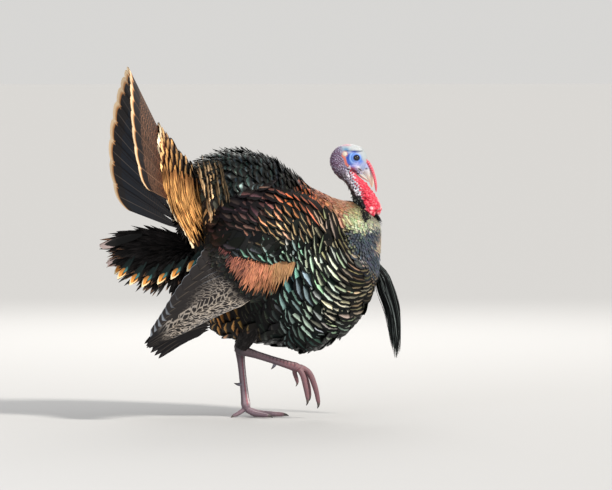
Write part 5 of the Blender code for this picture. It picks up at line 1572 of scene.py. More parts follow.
def neckBristles():
    # black hair-like feathers on the bare neck behind the wattle, thickest at the collar
    rng = np.random.default_rng(15)
    count = 620
    s = 0.75 + 2.7 * rng.random(count) ** 1.9
    u = rng.uniform(-2.35, 2.35, count)
    s[:200], u[:200] = rng.uniform(0.25, 1.05, 200), rng.uniform(-np.pi, np.pi, 200)
    spots, normal, rise = surfaceFrame(lambda a, b: sectionPoint(headStations, a, b, 2.05), s, u)
    middle = (sectionPoint(headStations, s, u * 0, 2.05) * 0.5
              + sectionPoint(headStations, s, u * 0 + np.pi, 2.05) * 0.5)
    normal *= np.sign((normal * (spots - middle)).sum(1))[:, None]
    length = (0.015 - 0.002 * s) * rng.uniform(0.7, 1.15, count) * np.where(s < 1.05, 1.35, 1)
    lean = rng.uniform(0.25, 0.75, count)[:, None]
    lie = unit(-unit(rise) + normal * lean + 0.15 * rng.normal(0, 1, (count, 3)))
    root = spots - normal * 0.001
    grey = rng.uniform(0.4, 1.6, (count, 1))
    return {"root": root, "tip": root + lie * length[:, None],
            "up": unit(normal + 0.2 * rng.normal(0, 1, (count, 3))),
            "width": rng.uniform(0.0012, 0.0022, count) * np.where(s < 1.05, 1.6, 1),
            "variant": pickBlades(rng, "wisp", count), "curl": rng.uniform(-0.1, 0.1, count),
            "rootUV": np.column_stack([0.96 + 0.04 * s / 3.5, (u + np.pi) / (2 * np.pi)]),
            "colA": np.array((0.006, 0.006, 0.008)) * grey,
            "colB": np.array((0.012, 0.014, 0.018)) * grey, "colC": np.array((0.03, 0.032, 0.036)) * grey,
            "par": np.column_stack([np.full(count, 0.4), np.full(count, 0.95), rng.uniform(0, 1, count)])}


def collarTufts():
    # black tufts, some with pale ends, round the foot of the wattle
    rng = np.random.default_rng(17)
    count = 460
    sign = np.where(rng.random(count) < 0.5, 1, -1)
    share = rng.uniform(0, 1, count)
    ahead = rng.random(count) < 0.28
    x = np.where(ahead, rng.uniform(0.272, 0.296, count),
                 0.2475 + 0.018 * share + rng.uniform(-0.006, 0.008, count))
    z = np.where(ahead, 0.474 - 0.4 * (x - 0.272) + rng.uniform(-0.006, 0.003, count),
                 0.512 - 0.05 * share + rng.uniform(-0.004, 0.004, count))
    y = sign * np.where(ahead, rng.uniform(0.002, 0.02, count), np.maximum(bodyWidth(x, z) + 0.002, 0.019))
    lie = unit(np.column_stack([np.where(ahead, 0.35, -0.3), sign * 0.45, np.where(ahead, -0.75, -0.8)])
               + 0.22 * rng.normal(0, 1, (count, 3)))
    root = np.column_stack([x, y, z])
    pale = (rng.random((count, 1)) < 0.22) * rng.uniform(0.3, 1, (count, 1))
    return {"root": root, "tip": root + lie * rng.uniform(0.011, 0.02, count)[:, None],
            "up": unit(np.column_stack([0.2 + 0 * x, sign, 0.3 + 0 * x]) + 0.25
                       * rng.normal(0, 1, (count, 3))),
            "width": rng.uniform(0.002, 0.0042, count), "variant": pickBlades(rng, "wisp", count),
            "curl": rng.uniform(-0.15, 0.15, count),
            "rootUV": np.column_stack([0.93 + 0.03 * share, 0.5 + sign * 0.3 * share]),
            "colA": np.tile((0.005, 0.005, 0.006), (count, 1)),
            "colB": np.array((0.01, 0.011, 0.012)) + pale * (0.2, 0.22, 0.2),
            "colC": np.array((0.014, 0.015, 0.016)) + pale * (0.45, 0.5, 0.42),
            "par": np.column_stack([np.full(count, 0.5), np.full(count, 0.85), rng.uniform(0.3, 1, count)])}


def thighFeathers():
    # the drumsticks' short dark feathers, down to the hock
    found = []
    for side, sign in sides.items():
        rng = np.random.default_rng(25 if sign > 0 else 26)
        a = hock[side]
        top = np.array((a[0] + 0.036, a[1] * 1.4, 0.235))
        path = np.array([a + (0.001, 0, 0.0), a * 0.72 + top * 0.28, top])
        sizes = [(0.011, 0.0098), (0.0165, 0.0145), (0.029, 0.026)]
        t = np.repeat(np.linspace(0.22, 1.7, 22), 26)
        turn = np.tile(np.arange(26) / 26, 22) * 2 * np.pi + np.repeat(np.arange(22) % 2, 26) * np.pi / 26
        t, turn = t + rng.uniform(-0.04, 0.04, len(t)), turn + rng.uniform(-0.1, 0.1, len(t))

        def onTube(at, around, swell):
            centre, size = catmull(path, np.clip(at, 0, 2)), catmull(sizes, np.clip(at, 0, 2)) + swell
            run = unit(catmull(path, np.clip(at + 0.05, 0, 2)) - catmull(path, np.clip(at - 0.05, 0, 2)))
            across = unit(np.array((0, 1.0, 0)) - run * run[:, 1:2])
            out = (np.cross(across, run) * (np.cos(around) * size[:, 0])[:, None] + across
                   * (np.sin(around) * size[:, 1])[:, None])
            return centre + out, unit(out)

        tip, normal = onTube(t, turn, 0.0015)
        root, _ = onTube(t + 0.45, turn, -0.001)
        count = len(t)
        tan = (rng.random((count, 1)) < 0.1) * smooth(1.2, 1.7, t)[:, None]
        found.append({"root": root, "tip": tip, "up": unit(normal + 0.15 * rng.normal(0, 1, (count, 3))),
                      "width": table(t, ((0, 0.005), (1, 0.008), (2, 0.014))),
                      "variant": pickBlades(rng, "mantle", count), "curl": rng.uniform(0, 0.08, count),
                      "rootUV": np.column_stack([0.2 + 0.08 * t / 2,
                                                 0.5 + sign * (0.36 + 0.05 * np.sin(turn))]),
                      "colA": np.tile((0.009, 0.008, 0.008), (count, 1)),
                      "colB": np.tile((0.02, 0.018, 0.018), (count, 1)) + tan * (0.3, 0.14, 0.05),
                      "colC": np.tile((0.014, 0.012, 0.012), (count, 1)),
                      "par": np.column_stack([np.full((count, 2), (0.7, 0.92)), rng.uniform(0, 1, count)])})
    return joinTracts(*found)


def setColour(mesh, name, colour):
    colour = np.column_stack([np.clip(colour, 0, 1), np.ones(len(colour))]).astype(np.float32)
    mesh.attributes.new(name, "FLOAT_COLOR", "POINT").data.foreach_set("color", colour.ravel())


def setGloss(mesh, gloss):
    values = np.broadcast_to(gloss, len(mesh.vertices)).astype(np.float32)
    mesh.attributes.new("gloss", "FLOAT", "POINT").data.foreach_set("value", values)


# legs
hock = {"left": np.array((-0.022, 0.04, 0.164)), "right": np.array((-0.026, -0.052, 0.161))}
ankle = {"left": np.array((-0.008, 0.022, 0.024)), "right": np.array((0.107, -0.04, 0.118))}
shankSizes = [(0.007, 0.006), (0.0125, 0.0105), (0.0112, 0.009), (0.009, 0.0072), (0.0088, 0.007),
              (0.0098, 0.009), (0.0108, 0.012), (0.008, 0.009)]
standingToes = {"middle": (2, 0.084, 0.0062), "inner": (-38, 0.06, 0.0056), "outer": (40, 0.064, 0.0056),
                "hind": (196, 0.03, 0.0046)}
liftedToes = {
    "middle": [(0.004, 0.0, 0.002), (0.026, 0.0, -0.012), (0.04, 0.001, -0.045), (0.0475, 0.001, -0.078)],
    "outer": [(0.002, 0.01, -0.002), (0.011, 0.013, -0.018), (0.017, 0.016, -0.044), (0.0215, 0.017, -0.07)],
    "inner": [(0.002, -0.01, -0.002), (0.016, -0.014, -0.018), (0.025, -0.018, -0.042),
              (0.029, -0.019, -0.064)],
    "hind": [(-0.007, -0.006, -0.004), (-0.006, -0.01, -0.014), (-0.002, -0.012, -0.026),
             (0.0, -0.012, -0.034)],
}


def shankPath(side):
    a, b = hock[side], ankle[side]
    onward = (b - a) / np.linalg.norm(b - a)
    return np.array([a - onward * 0.012, a, a + (b - a) * 0.1, a + (b - a) * 0.3, a + (b - a) * 0.6,
                     a + (b - a) * 0.86, a + (b - a) * 0.96, b + onward * 0.006])


def toePath(side, which):
    sign, start = sides[side], ankle[side]
    if side == "right":
        return np.array([start + (x, sign * out, z) for x, out, z in liftedToes[which]])
    heading, length, _ = standingToes[which]
    turn = math.radians(heading)
    ahead = np.array((math.cos(turn), sign * math.sin(turn), 0))
    heights = (0.017, 0.0095, 0.0072, 0.0062) if which != "hind" else (0.02, 0.014, 0.008, 0.0048)
    return np.array([(start[0], start[1], 0) + ahead * length * share + (0, 0, z) for share,
                     z in zip((0.06, 0.36, 0.7, 1.0), heights)])


def toeSizes(which):
    width = standingToes[which][2]
    return [(width * 1.16, width * 1.2), (width * 1.14, width * 1.12), (width * 1.02, width * 1.0),
            (width * 0.78, width * 0.76)]


def legSkin(side):
    rng = np.random.default_rng(21)
    parts = [closedLoft(tubeLoft(shankPath(side), shankSizes, 40, 24))]
    a, b = hock[side], ankle[side]
    up = (a - b) / np.linalg.norm(a - b)
    # a short feathered drumstick end hides the joint above the hock
    root = np.array((a[0] + 0.036, a[1] * 1.4, 0.235))
    parts.append(closedLoft(tubeLoft([a + (0, 0, -0.002), a * 0.75 + root * 0.25, root],
                                     [(0.0095, 0.0085), (0.0135, 0.012), (0.026, 0.023)], 16, 20)))
    for which in standingToes:
        path = toePath(side, which)
        floor = 0.0 if side == "left" else None
        parts.append(closedLoft(tubeLoft(path, toeSizes(which), 26, 16, floor)))
        tip = path[-1]
        parts.append(blob(tip, standingToes[which][2] * 0.76, (1, 1, 1)))
    obj = remeshed("leg_skin_" + side, parts, 0.00145, 2)
    mesh = obj.data
    points, normals = meshArrays(mesh)
    x, y, z = points.T
    # distance along the shank, and how far round from its front
    along = (a - points) @ up
    shank = (smooth(-0.01, 0.004, along)
             * smooth(np.linalg.norm(a - b) + 0.002, np.linalg.norm(a - b) - 0.012, along))
    axis = a - np.outer(along, up)
    out = points - axis
    forward = np.array((1.0, 0, 0)) - up * up[0]
    if side == "right":
        forward = np.array((0, 0, 1.0)) - up * up[2]
    forward /= np.linalg.norm(forward)
    front = (out @ forward) / np.maximum(np.linalg.norm(out, axis=1), 1e-6)
    plate = np.abs(((along / 0.0084 + 0.35 * np.sign(y - axis[:, 1])) % 1) - 0.5) * 2
    cut = smooth(0.62, 0.86, plate) * smooth(-0.35, 0.05, front)
    cell = (np.sin(along * 1500 + 2.0 * np.sin(y * 900))
            * np.sin(np.arctan2(out @ np.cross(up, forward), out @ forward) * 7))
    rise = (-0.00085 * cut * shank * (0.4 if side == "left" else 1) + 0.00035 * cell * shank
            * smooth(0.4, 0.0, front))
    ringMask = np.zeros(len(x))
    for which in standingToes:
        path = toePath(side, which)
        line = catmull(path, np.linspace(0, 3, 60))
        tree = KDTree(60)
        for k, p in enumerate(line):
            tree.insert(p, k)
        tree.balance()
        found = [tree.find(p)[1:] for p in points]
        index, distance = np.array([f[0] for f in found]), np.array([f[1] for f in found])
        run = np.concatenate([[0], np.cumsum(np.linalg.norm(np.diff(line, axis=0), axis=1))])[index]
        near = smooth(0.009, 0.0075, distance) * smooth(2, 8, index)
        scale = np.abs(((run / 0.0054) % 1) - 0.5) * 2
        ringMask = np.maximum(ringMask,
                              near * smooth(0.6, 0.92, scale)
                              * smooth(0.0, 0.3, (points - line[index]) @ np.array((0.3, 0, 1.0))) )
    toePart = 1 - shank
    rise -= 0.00085 * ringMask * toePart
    pads = scatterSeeds(points, (z < 0.004).astype(float) * 0.5 + (toePart > 0.8) * 0.25, 0.0022, rng)
    padRise = pebbles(points, pads, np.full(len(pads), 0.0014), np.full(len(pads), 0.00025))
    points = points + normals * (rise + padRise * toePart * (1 - ringMask))[:, None]
    points[:, 2] = np.maximum(points[:, 2], 0.0)
    mesh.vertices.foreach_set("co", points.ravel())
    mottle = np.sin(x * 700 + 3 * np.sin(z * 420)) * np.sin(z * 650 + y * 800) * 0.5 + 0.5
    standing = side == "left"
    colour = np.tile((0.215, 0.148, 0.18) if standing else (0.125, 0.074, 0.09), (len(x), 1)).astype(float)
    colour = blend(colour, (0.12, 0.074, 0.096), mottle * 0.65)
    colour = blend(colour, (0.34, 0.27, 0.31),
                   np.exp(-((front + 0.25) / 0.3) ** 2) * shank * (0.6 if standing else 0.15))
    # painted shade: the back of the shank darker, on the side turned from the light
    colour = blend(colour, (0.075, 0.047, 0.06), smooth(-0.45, -0.9, front) * shank * 0.85)
    colour = blend(colour, (0.46, 0.05, 0.095),
                   np.exp(-((front - 0.3) / 0.1) ** 2) * shank * (0.9 if standing else 0.25))
    # painted highlight: a pale stripe down the front of the shank, strongest on the standing leg
    colour = blend(colour, (0.84, 0.74, 0.76),
                   np.exp(-((front - 0.7) / 0.15) ** 2) * shank * (0.85 if standing else 0.2))
    # painted shadow: the shanks darker towards the hock under the body, the lifted leg most
    colour = blend(colour, (0.09, 0.056, 0.066),
                   smooth(0.095, 0.02, along) * shank * (0.25 if standing else 0.85))
    colour = blend(colour, (0.07, 0.048, 0.058),
                   smooth(0.05, 0.008, along) * 0.85 * (1 - toePart * (along > 0.05)))
    colour = blend(colour, (0.032, 0.027, 0.033), smooth(0.018, -0.004, along) * 0.9)
    colour = blend(colour, (0.045, 0.026, 0.034),
                   np.clip(cut * shank * (0.22 if standing else 0.25 + 0.6 * smooth(0.05, 0.09, along))
                           + ringMask * toePart, 0, 1) * 0.9)
    # painted shade: the toes darker where they face downwards
    under = np.clip(-normals[:, 2] * 0.8 - normals[:, 0] * 0.3, 0, 1) * toePart
    colour = blend(colour, (0.07, 0.038, 0.044), under * 0.85)
    # painted light: the toes paler where they face up and forward
    colour = blend(colour, (0.42, 0.33, 0.37),
                   np.clip(normals[:, 2] * 0.6 + normals[:, 0] * 0.4 - 0.3, 0, 1) * toePart * (1 - ringMask)
                   * 0.7)
    colour = blend(colour, (0.3, 0.22, 0.22), smooth(0.004, 0.001, z) * 0.7)
    # painted shadow: the standing shank near-black above a sharp line near the hock, where the lifted leg and
    # the body cast their shadow
    colour = blend(colour, (0.04, 0.028, 0.034),
                   smooth(0.128, 0.152, z + 0.1 * smooth(0.0, 0.05, x)) * (0.85 if standing else 0.0))
    colour = blend(colour, (0.36, 0.09, 0.085), mottle * smooth(0.055, 0.08, x) * 0.35)
    setColour(mesh, "skinColour", colour)
    setGloss(mesh, 0.48 + 0.15 * mottle)
    return obj


def bodyCore():
    # the body under the feathers, kept inside them by the depth of the coat
    def inset(s):
        return table(s, ((0, 0.01), (2, 0.017), (8, 0.015), (10, 0.009), (12, 0.005)))

    steps = 60
    points, _, _, around = bodyMesh(inset, steps)
    rings = points.reshape(steps, around, 3)
    core = closedLoft(rings)
    obj = addObject("body_core", joinedMesh("body_core", [core]))
    setColour(obj.data, "skinColour", np.tile((0.03, 0.024, 0.022), (len(core[0]), 1)))
    setGloss(obj.data, 0.8)
    return obj


def skinMaterial():
    made, tree, shader = newMaterial("skin", 0.5)
    colour = attributeNode(tree, "skinColour")
    fine = noiseNode(tree, 900.0, 4.0)
    grain = mathNode(tree, "ADD", mathNode(tree, "MULTIPLY", fine, 0.35), 0.82)
    grey = tree.nodes.new("ShaderNodeCombineXYZ")
    for socket in grey.inputs:
        tree.links.new(grain, socket)
    tree.links.new(mixColour(tree, 1.0, colour, grey.outputs[0], "MULTIPLY"), shader.inputs["Base Color"])
    rough = mathNode(tree, "ADD", attributeNode(tree, "gloss", "Fac"),
                     mathNode(tree, "MULTIPLY", mathNode(tree, "SUBTRACT", fine, 0.5), 0.25))
    tree.links.new(rough, shader.inputs["Roughness"])
    bump = tree.nodes.new("ShaderNodeBump")
    bump.inputs["Strength"].default_value = 0.35
    bump.inputs["Distance"].default_value = 0.0004
    tree.links.new(noiseNode(tree, 1400.0, 3.0), bump.inputs["Height"])
    tree.links.new(bump.outputs[0], shader.inputs["Normal"])
    shader.inputs["Subsurface Weight"].default_value = 0.05
    shader.inputs["Subsurface Radius"].default_value = (0.004, 0.0015, 0.001)
    shader.inputs["Subsurface Scale"].default_value = 1.0
    return made


def joinObjects(name, objects):
    bpy.ops.object.select_all(action="DESELECT")
    for obj in objects:
        obj.select_set(True)
    bpy.context.view_layer.objects.active = objects[0]
    bpy.ops.object.join()
    objects[0].name = name
    return objects[0]


# eyes, bill, claws and spurs
upperBill = [
    (0.26, 0.599, 0.25, 0.569, 0.011), (0.2665, 0.5915, 0.256, 0.5665, 0.0102),
    (0.2715, 0.5825, 0.261, 0.562, 0.0092),
    (0.2775, 0.571, 0.2665, 0.5565, 0.0078), (0.2832, 0.556, 0.2722, 0.548, 0.006),
    (0.285, 0.541, 0.2768, 0.5385, 0.0038), (0.2824, 0.5312, 0.2802, 0.5306, 0.001),
]
lowerBill = [(0.253, 0.5655, 0.249, 0.559, 0.0092), (0.261, 0.559, 0.257, 0.5525, 0.0078),
             (0.269, 0.552, 0.2655, 0.5475, 0.0058), (0.274, 0.546, 0.2725, 0.543, 0.0026)]


def billPiece(name, rows, isUpper):
    rings = stationLoft(rows, 0, len(rows) - 1, 56 if isUpper else 34, 28, 2.15)
    obj = addObject(name, joinedMesh(name, [closedLoft(rings)]))
    mesh = obj.data
    points, normals = meshArrays(mesh)
    x, y, z = points.T
    run = np.clip((0.598 - z) / 0.064, 0, 1)
    nostril = (np.exp(-(((x - 0.268) / 0.0034) ** 2 + ((z - 0.5735) / 0.0017) ** 2))
               * smooth(0.003, 0.006, np.abs(y)) if isUpper else 0 * x)
    lip = nearLine(x, z, [(0.256, 0.568), (0.261, 0.5625), (0.2665, 0.557), (0.2722, 0.549)])[0]
    growth = 0.00012 * np.sin(run * 120) * smooth(0.35, 0.6, run)
    points = points + normals * (growth - nostril * 0.0014)[:, None]
    mesh.vertices.foreach_set("co", points.ravel())
    colour = np.tile((0.34, 0.38, 0.62), (len(x), 1)).astype(float)
    colour = blend(colour, (0.56, 0.54, 0.56), smooth(0.28, 0.5, run))
    colour = blend(colour, (0.84, 0.78, 0.62), smooth(0.5, 0.75, run))
    colour = blend(colour, (0.84, 0.76, 0.54), smooth(0.82, 0.97, run))
    if not isUpper:
        colour = blend(colour, (0.42, 0.38, 0.36), np.full(len(x), 0.65))
    colour = blend(colour, (0.78, 0.76, 0.78), smooth(0.0022, 0.0008, lip) * 0.7 * isUpper)
    colour = blend(colour, (0.012, 0.01, 0.014), nostril * 1.2)
    setColour(mesh, "skinColour", colour)
    setGloss(mesh, 0.34)
    mesh.shade_smooth()
    return obj


def eyePiece(side):
    sign = sides[side]
    work = bmesh.new()
    bmesh.ops.create_uvsphere(work, u_segments=40, v_segments=28, radius=0.0069)
    mesh = bpy.data.meshes.new("eyeball_" + side)
    turn = (Matrix.Translation((eyeAt[0], eyeAt[1] * sign, eyeAt[2]))
            @ Matrix.Rotation(-sign * math.pi / 2, 4, "X"))
    bmesh.ops.transform(work, matrix=turn, verts=work.verts)
    work.to_mesh(mesh)
    work.free()
    points, _ = meshArrays(mesh)
    off = np.hypot(points[:, 0] - eyeAt[0], points[:, 2] - eyeAt[2])
    colour = np.tile((0.022, 0.009, 0.006), (len(points), 1)).astype(float)
    colour = blend(colour, (0.002, 0.002, 0.002), smooth(0.0038, 0.003, off))
    colour = blend(colour, (0.004, 0.003, 0.004), smooth(0.0046, 0.0052, off))
    setColour(mesh, "skinColour", colour)
    setGloss(mesh, 0.05)
    mesh.shade_smooth()
    return addObject("eyeball_" + side, mesh)


def hornMaterial(name, rough, coat):
    made, tree, shader = newMaterial(name, rough)
    streak = noiseNode(tree, 420.0, 3.0)
    grain = mathNode(tree, "ADD", mathNode(tree, "MULTIPLY", streak, 0.4), 0.8)
    grey = tree.nodes.new("ShaderNodeCombineXYZ")
    for socket in grey.inputs:
        tree.links.new(grain, socket)
    tree.links.new(mixColour(tree, 1.0, attributeNode(tree, "skinColour"), grey.outputs[0], "MULTIPLY"),
                   shader.inputs["Base Color"])
    tree.links.new(mathNode(tree, "ADD", attributeNode(tree, "gloss", "Fac"),
                            mathNode(tree, "MULTIPLY", mathNode(tree, "SUBTRACT", streak, 0.5), 0.06)),
                            shader.inputs["Roughness"])
    shader.inputs["Coat Weight"].default_value = coat
    shader.inputs["Coat Roughness"].default_value = 0.06
    return made


def clawPiece(side, which):
    path = catmull(toePath(side, which), np.linspace(0, 3, 6))
    size = catmull(toeSizes(which), np.linspace(0, 3, 6))[-1]
    ahead = unit(path[-1] - path[-2])
    down = unit(np.cross((0, 1, 0), ahead))
    down = down * (-1 if down[2] > 0 and side == "left" else 1)
    if side == "right" and down[0] > 0:
        down = -down
    reach, drop = (0.0165 if which != "hind" else 0.01), (0.0035 if side == "left" else 0.006)
    start = path[-1] - ahead * 0.0022
    points = [start, start + ahead * reach * 0.4 + down * drop * 0.1,
              start + ahead * reach * 0.78 + down * drop * 0.42,
              start + ahead * (reach + 0.001) + down * drop]
    sizes = [(size[0] * 0.9, size[1] * 0.8), (size[0] * 0.76, size[1] * 0.62),
             (size[0] * 0.46, size[1] * 0.36), (0.0005, 0.0005)]
    return closedLoft(tubeLoft(points, sizes, 18, 14, 0.0003 if side == "left" else None))


def spurPiece(side):
    a, b = hock[side], ankle[side]
    onward = unit(b - a)
    start = a + (b - a) * 0.62
    back = np.cross((0, 1, 0), onward)
    if side == "left":
        back = back if back[0] < 0 else -back
    else:
        back = back if back[2] < 0 else -back
    out = unit(back + np.array((0, -sides[side], 0)) * 0.35)
    points = [start + out * reach + onward * bend for reach,
              bend in ((0.003, 0), (0.01, 0.0005), (0.0165, -0.001), (0.0235, -0.004))]
    return closedLoft(tubeLoft(points, [(0.0048, 0.0048), (0.0042, 0.004), (0.0028, 0.0027),
                                        (0.0006, 0.0006)], 22, 16))


def colourByReach(obj, origin, base, tip, span):
    points, _ = meshArrays(obj.data)
    far = np.linalg.norm(points - origin, axis=1)
    share = smooth(span[0], span[1], far)
    setColour(obj.data, "skinColour", np.array(base) + (np.array(tip) - np.array(base)) * share[:, None])
    setGloss(obj.data, 0.3)
    obj.data.shade_smooth()


def hardParts():
    horn, glass = hornMaterial("horn", 0.34, 0.15), hornMaterial("eyeGloss", 0.05, 1.0)
    for name, rows, isUpper in (("upper", upperBill, True), ("lower", lowerBill, False)):
        piece = billPiece("bill_" + name + "_horn", rows, isUpper)
        piece.data.materials.append(horn)
        settle(piece, "horn", "bill_" + name)
    for side in sides:
        eye = eyePiece(side)
        eye.data.materials.append(glass)
        settle(eye, "eye", "eye_" + side)
        spur = addObject("spur_horn_" + side, joinedMesh("spur_horn_" + side, [spurPiece(side)]))
        colourByReach(spur, hock[side] + (ankle[side] - hock[side]) * 0.62, (0.17, 0.16, 0.2),
                      (0.035, 0.03, 0.03), (0.01, 0.022))
        spur.data.materials.append(horn)
        settle(spur, "claw", "spur_" + side)
        claws = addObject("claw_horn_" + side,
                          joinedMesh("claw_horn_" + side, [clawPiece(side, which) for which in standingToes]))
        points, _ = meshArrays(claws.data)
        ends = np.array([toePath(side, which)[-1] for which in standingToes])
        far = np.min(np.linalg.norm(points[:, None] - ends[None], axis=2), axis=1)
        setColour(claws.data, "skinColour",
                  np.array((0.1, 0.075, 0.065)) + (np.array((0.02, 0.016, 0.015)) - (0.1, 0.075, 0.065))
                  * smooth(0.002, 0.014, far)[:, None])
        setGloss(claws.data, 0.36)
        claws.data.shade_smooth()
        claws.data.materials.append(horn)
        settle(claws, "claw", *[f"claw_{side}_{which}" for which in standingToes])


def layOnSkin():
    parts = [headSkin(), legSkin("left"), legSkin("right"), bodyCore()]
    whole = joinObjects("skin", parts)
    whole.data.shade_smooth()
    whole.data.materials.clear()
    whole.data.materials.append(skinMaterial())
    nodes = ["trunk", "neck_base", "neck", "head", "wattle", "snood"] + [f"thigh_{side}" for side in sides]
    nodes += ([f"tarsus_{side}" for side in sides]
              + [f"toe_{side}_{which}" for side in sides for which in standingToes])
    return settle(whole, "skin_red", *nodes)


# beard
beardPath = [(0.268, 0, 0.368), (0.3, 0, 0.33), (0.3125, 0, 0.294), (0.326, 0, 0.253), (0.3325, 0, 0.214),
             (0.336, 0, 0.179), (0.337, 0, 0.156), (0.336, 0, 0.134)]
beardSizes = [(0.005, 0.008), (0.017, 0.012), (0.0215, 0.012), (0.02, 0.011), (0.019, 0.01), (0.017, 0.01),
              (0.012, 0.008), (0.0055, 0.0045)]


def beardMesh():
    # coarse bristles gathered in locks that run out at different lengths
    rng = np.random.default_rng(91)
    points, faces, tone, start = [], [], [], 0
    along = 16
    for k in range(620):
        if k % 8 == 0:
            radius, turn, lockTone = (math.sqrt(rng.uniform(0.02, 1)), rng.uniform(0, 2 * np.pi),
                                      rng.uniform(0, 1))
            lockReach = 7 * (1 - 0.46 * rng.uniform(0, 1) ** 1.2 * (0.15 + 0.85 * radius))
            lockDrift, lockSwell = rng.uniform(-0.9, 0.9), rng.uniform(-0.3, 0.42)
        reach = lockReach * rng.uniform(0.86, 1.0)
        t = np.linspace(0, reach, along)
        centre, size = catmull(beardPath, t), catmull(beardSizes, t)
        ahead = unit(np.gradient(centre, axis=0))
        side = np.tile((0.0, 1.0, 0.0), (along, 1))
        lift = np.cross(side, ahead)
        drift = turn + lockDrift * t / 7 + 0.05 * np.sin(t * 3 + k)
        out = radius * 0.84 * (1 + lockSwell * (t / 7) ** 2)
        spread = 0.003 * table(t / reach, ((0, 1.0), (0.5, 0.9), (1, 0.25)))
        near, far = rng.uniform(-1, 1, 2)
        near = near + 0.45 * np.sin(t * rng.uniform(0.8, 2.0) + k * 1.7)
        spot = (centre + lift * (np.cos(drift) * size[:, 0] * out + spread * near)[:, None] + side
                * (np.sin(drift) * size[:, 1] * out + spread * far)[:, None])
        outward = unit(lift * np.cos(drift)[:, None] + side * np.sin(drift)[:, None])
        across = unit(np.cross(ahead, outward))
        spot[:, 0] -= 0.72 * np.maximum(spot[:, 0] - 0.3465, 0)
        half = rng.uniform(0.0006, 0.0012) * table(t / reach, ((0, 1.0), (0.6, 0.8), (1, 0.08)))
        strip = np.stack([spot - across * half[:, None], spot + outward * half[:, None] * 1.1,
                          spot + across * half[:, None]], 1)
        points.append(strip.reshape(-1, 3))
        faces.append(gridFaces(along, 3, start))
        tone.append(np.full(along * 3, 0.45 * lockTone + 0.55 * rng.uniform(0, 1)))
        start += along * 3
    mesh = meshFrom("beard_bristles", np.concatenate(points), np.concatenate(faces))
    tone = np.concatenate(tone)
    uv = np.zeros((len(tone), 2))
    order = np.arange(len(tone)) // (along * 3)
    uv[:, 0] = (order % 36 + 0.1 + 0.8 * ((np.arange(len(tone)) % 3) / 2)) / 36
    uv[:, 1] = (order // 36 + 0.05 + 0.9 * (((np.arange(len(tone)) // 3) % along) / (along - 1))) / 20
    corners = np.empty(len(mesh.loops), int)
    mesh.loops.foreach_get("vertex_index", corners)
    mesh.uv_layers.new(name="OFBake").data.foreach_set("uv", uv[corners].ravel())
    setColour(mesh, "skinColour", np.array((0.002, 0.0025, 0.003)) + np.outer(tone**5, (0.4, 0.47, 0.46)))
    setGloss(mesh, 0.4 + 0.2 * tone)
    mesh.shade_smooth()
    return mesh


# build
bodyVane = vaneMaterial("bodyVane", 0.36, 0.4)
wingVane = vaneMaterial("wingVane", 0.4, 0.35)
copperVane = vaneMaterial("copperVane", 0.6, 0.1, barbs=0.15, shaft=0.0, spread=0.34)
covertVane = vaneMaterial("covertVane", 0.6, 0.0, barbs=0.3, tipEdge=0.03)

trunkCoat = bodyFeathers()
ahead = trunkCoat["tip"][:, 0] > 0.155
rearCoat, breastCoat = [{key: values[chosen] for key, values in trunkCoat.items()}
                        for chosen in (~ahead, ahead)]
rearCoat = joinTracts(rearCoat, rumpDown(),
                      *[rumpStreaks(sign, np.random.default_rng(23)) for sign in (1, -1)], thighFeathers())
settle(layTract("body_feathers", rearCoat, bodyVane), "plumage_black", "trunk", "thigh_left", "thigh_right")
settle(layTract("breast_feathers", joinTracts(breastCoat, neckBristles(), collarTufts()), bodyVane),
       "plumage_black", "trunk", "neck_base")

primaryVane = barredMaterial("primaryVane", (0.018, 0.016, 0.016), (0.5, 0.41, 0.32), 0.8, (0.46, 0.47, 0.5),
                             (0.75, 1.5), (0.76, 0.94))
secondaryVane = barredMaterial("secondaryVane", (0.022, 0.019, 0.019), (0.33, 0.265, 0.2), 0.72,
                               (0.2, 0.22, 0.25), (0.15, 0.85), (0.42, 0.84))
pointVane = barredMaterial("pointVane", (0.008, 0.007, 0.008), (0.01, 0.009, 0.01), 0.0,
                           (0.012, 0.011, 0.012), (-0.2, -0.1), (0.0, 0.1))
for sideName, sign in sides.items():
    rng = np.random.default_rng(80 if sign > 0 else 81)
    shift = (0.06, -0.02) if sign > 0 else (0.0, 0.0)
    scapulars = layTract("wing_feathers_" + sideName,
                         joinTracts(wingFeathers(sign, rng), coverFeathers(sign, rng)), wingVane)
    settle(scapulars, "plumage_green", "wing_" + sideName)
    bronze = layTract("copper_feathers_" + sideName, copperFeathers(sign, rng), copperVane)
    settle(bronze, "plumage_copper", "wing_coverts_" + sideName)
    outer = np.linspace(0.05, 2.25, 9)
    quills = quillMesh("primaries_vanes_" + sideName, sign, outer, shift, np.full(9, 0.01),
                       np.full(9, 0.024), np.ones(9), 0.0004)
    quills.materials.append(primaryVane)
    points = quillMesh("primary_points_" + sideName, sign, np.array((0.0, 0.5, 1.0)), (0.0, 0.0),
                       np.full(3, 0.008), np.full(3, 0.014), np.ones(3), 0.0004, pointRows, 0.0045)
    points.materials.append(pointVane)
    primaries = joinObjects("primary_feathers_" + sideName,
                            [addObject("primary_feathers_" + sideName, quills),
                             addObject("primary_points_" + sideName, points)])
    settle(primaries, "plumage_barred", "primaries_" + sideName)
    inner = np.linspace(2.5, 5.0, 11)
    quills = quillMesh("secondaries_vanes_" + sideName, sign, inner, shift, np.full(11, 0.013),
                       np.full(11, 0.026), np.zeros(11), 0.0004)
    quills.materials.append(secondaryVane)
    settle(addObject("secondary_feathers_" + sideName, quills), "plumage_barred", "secondaries_" + sideName)

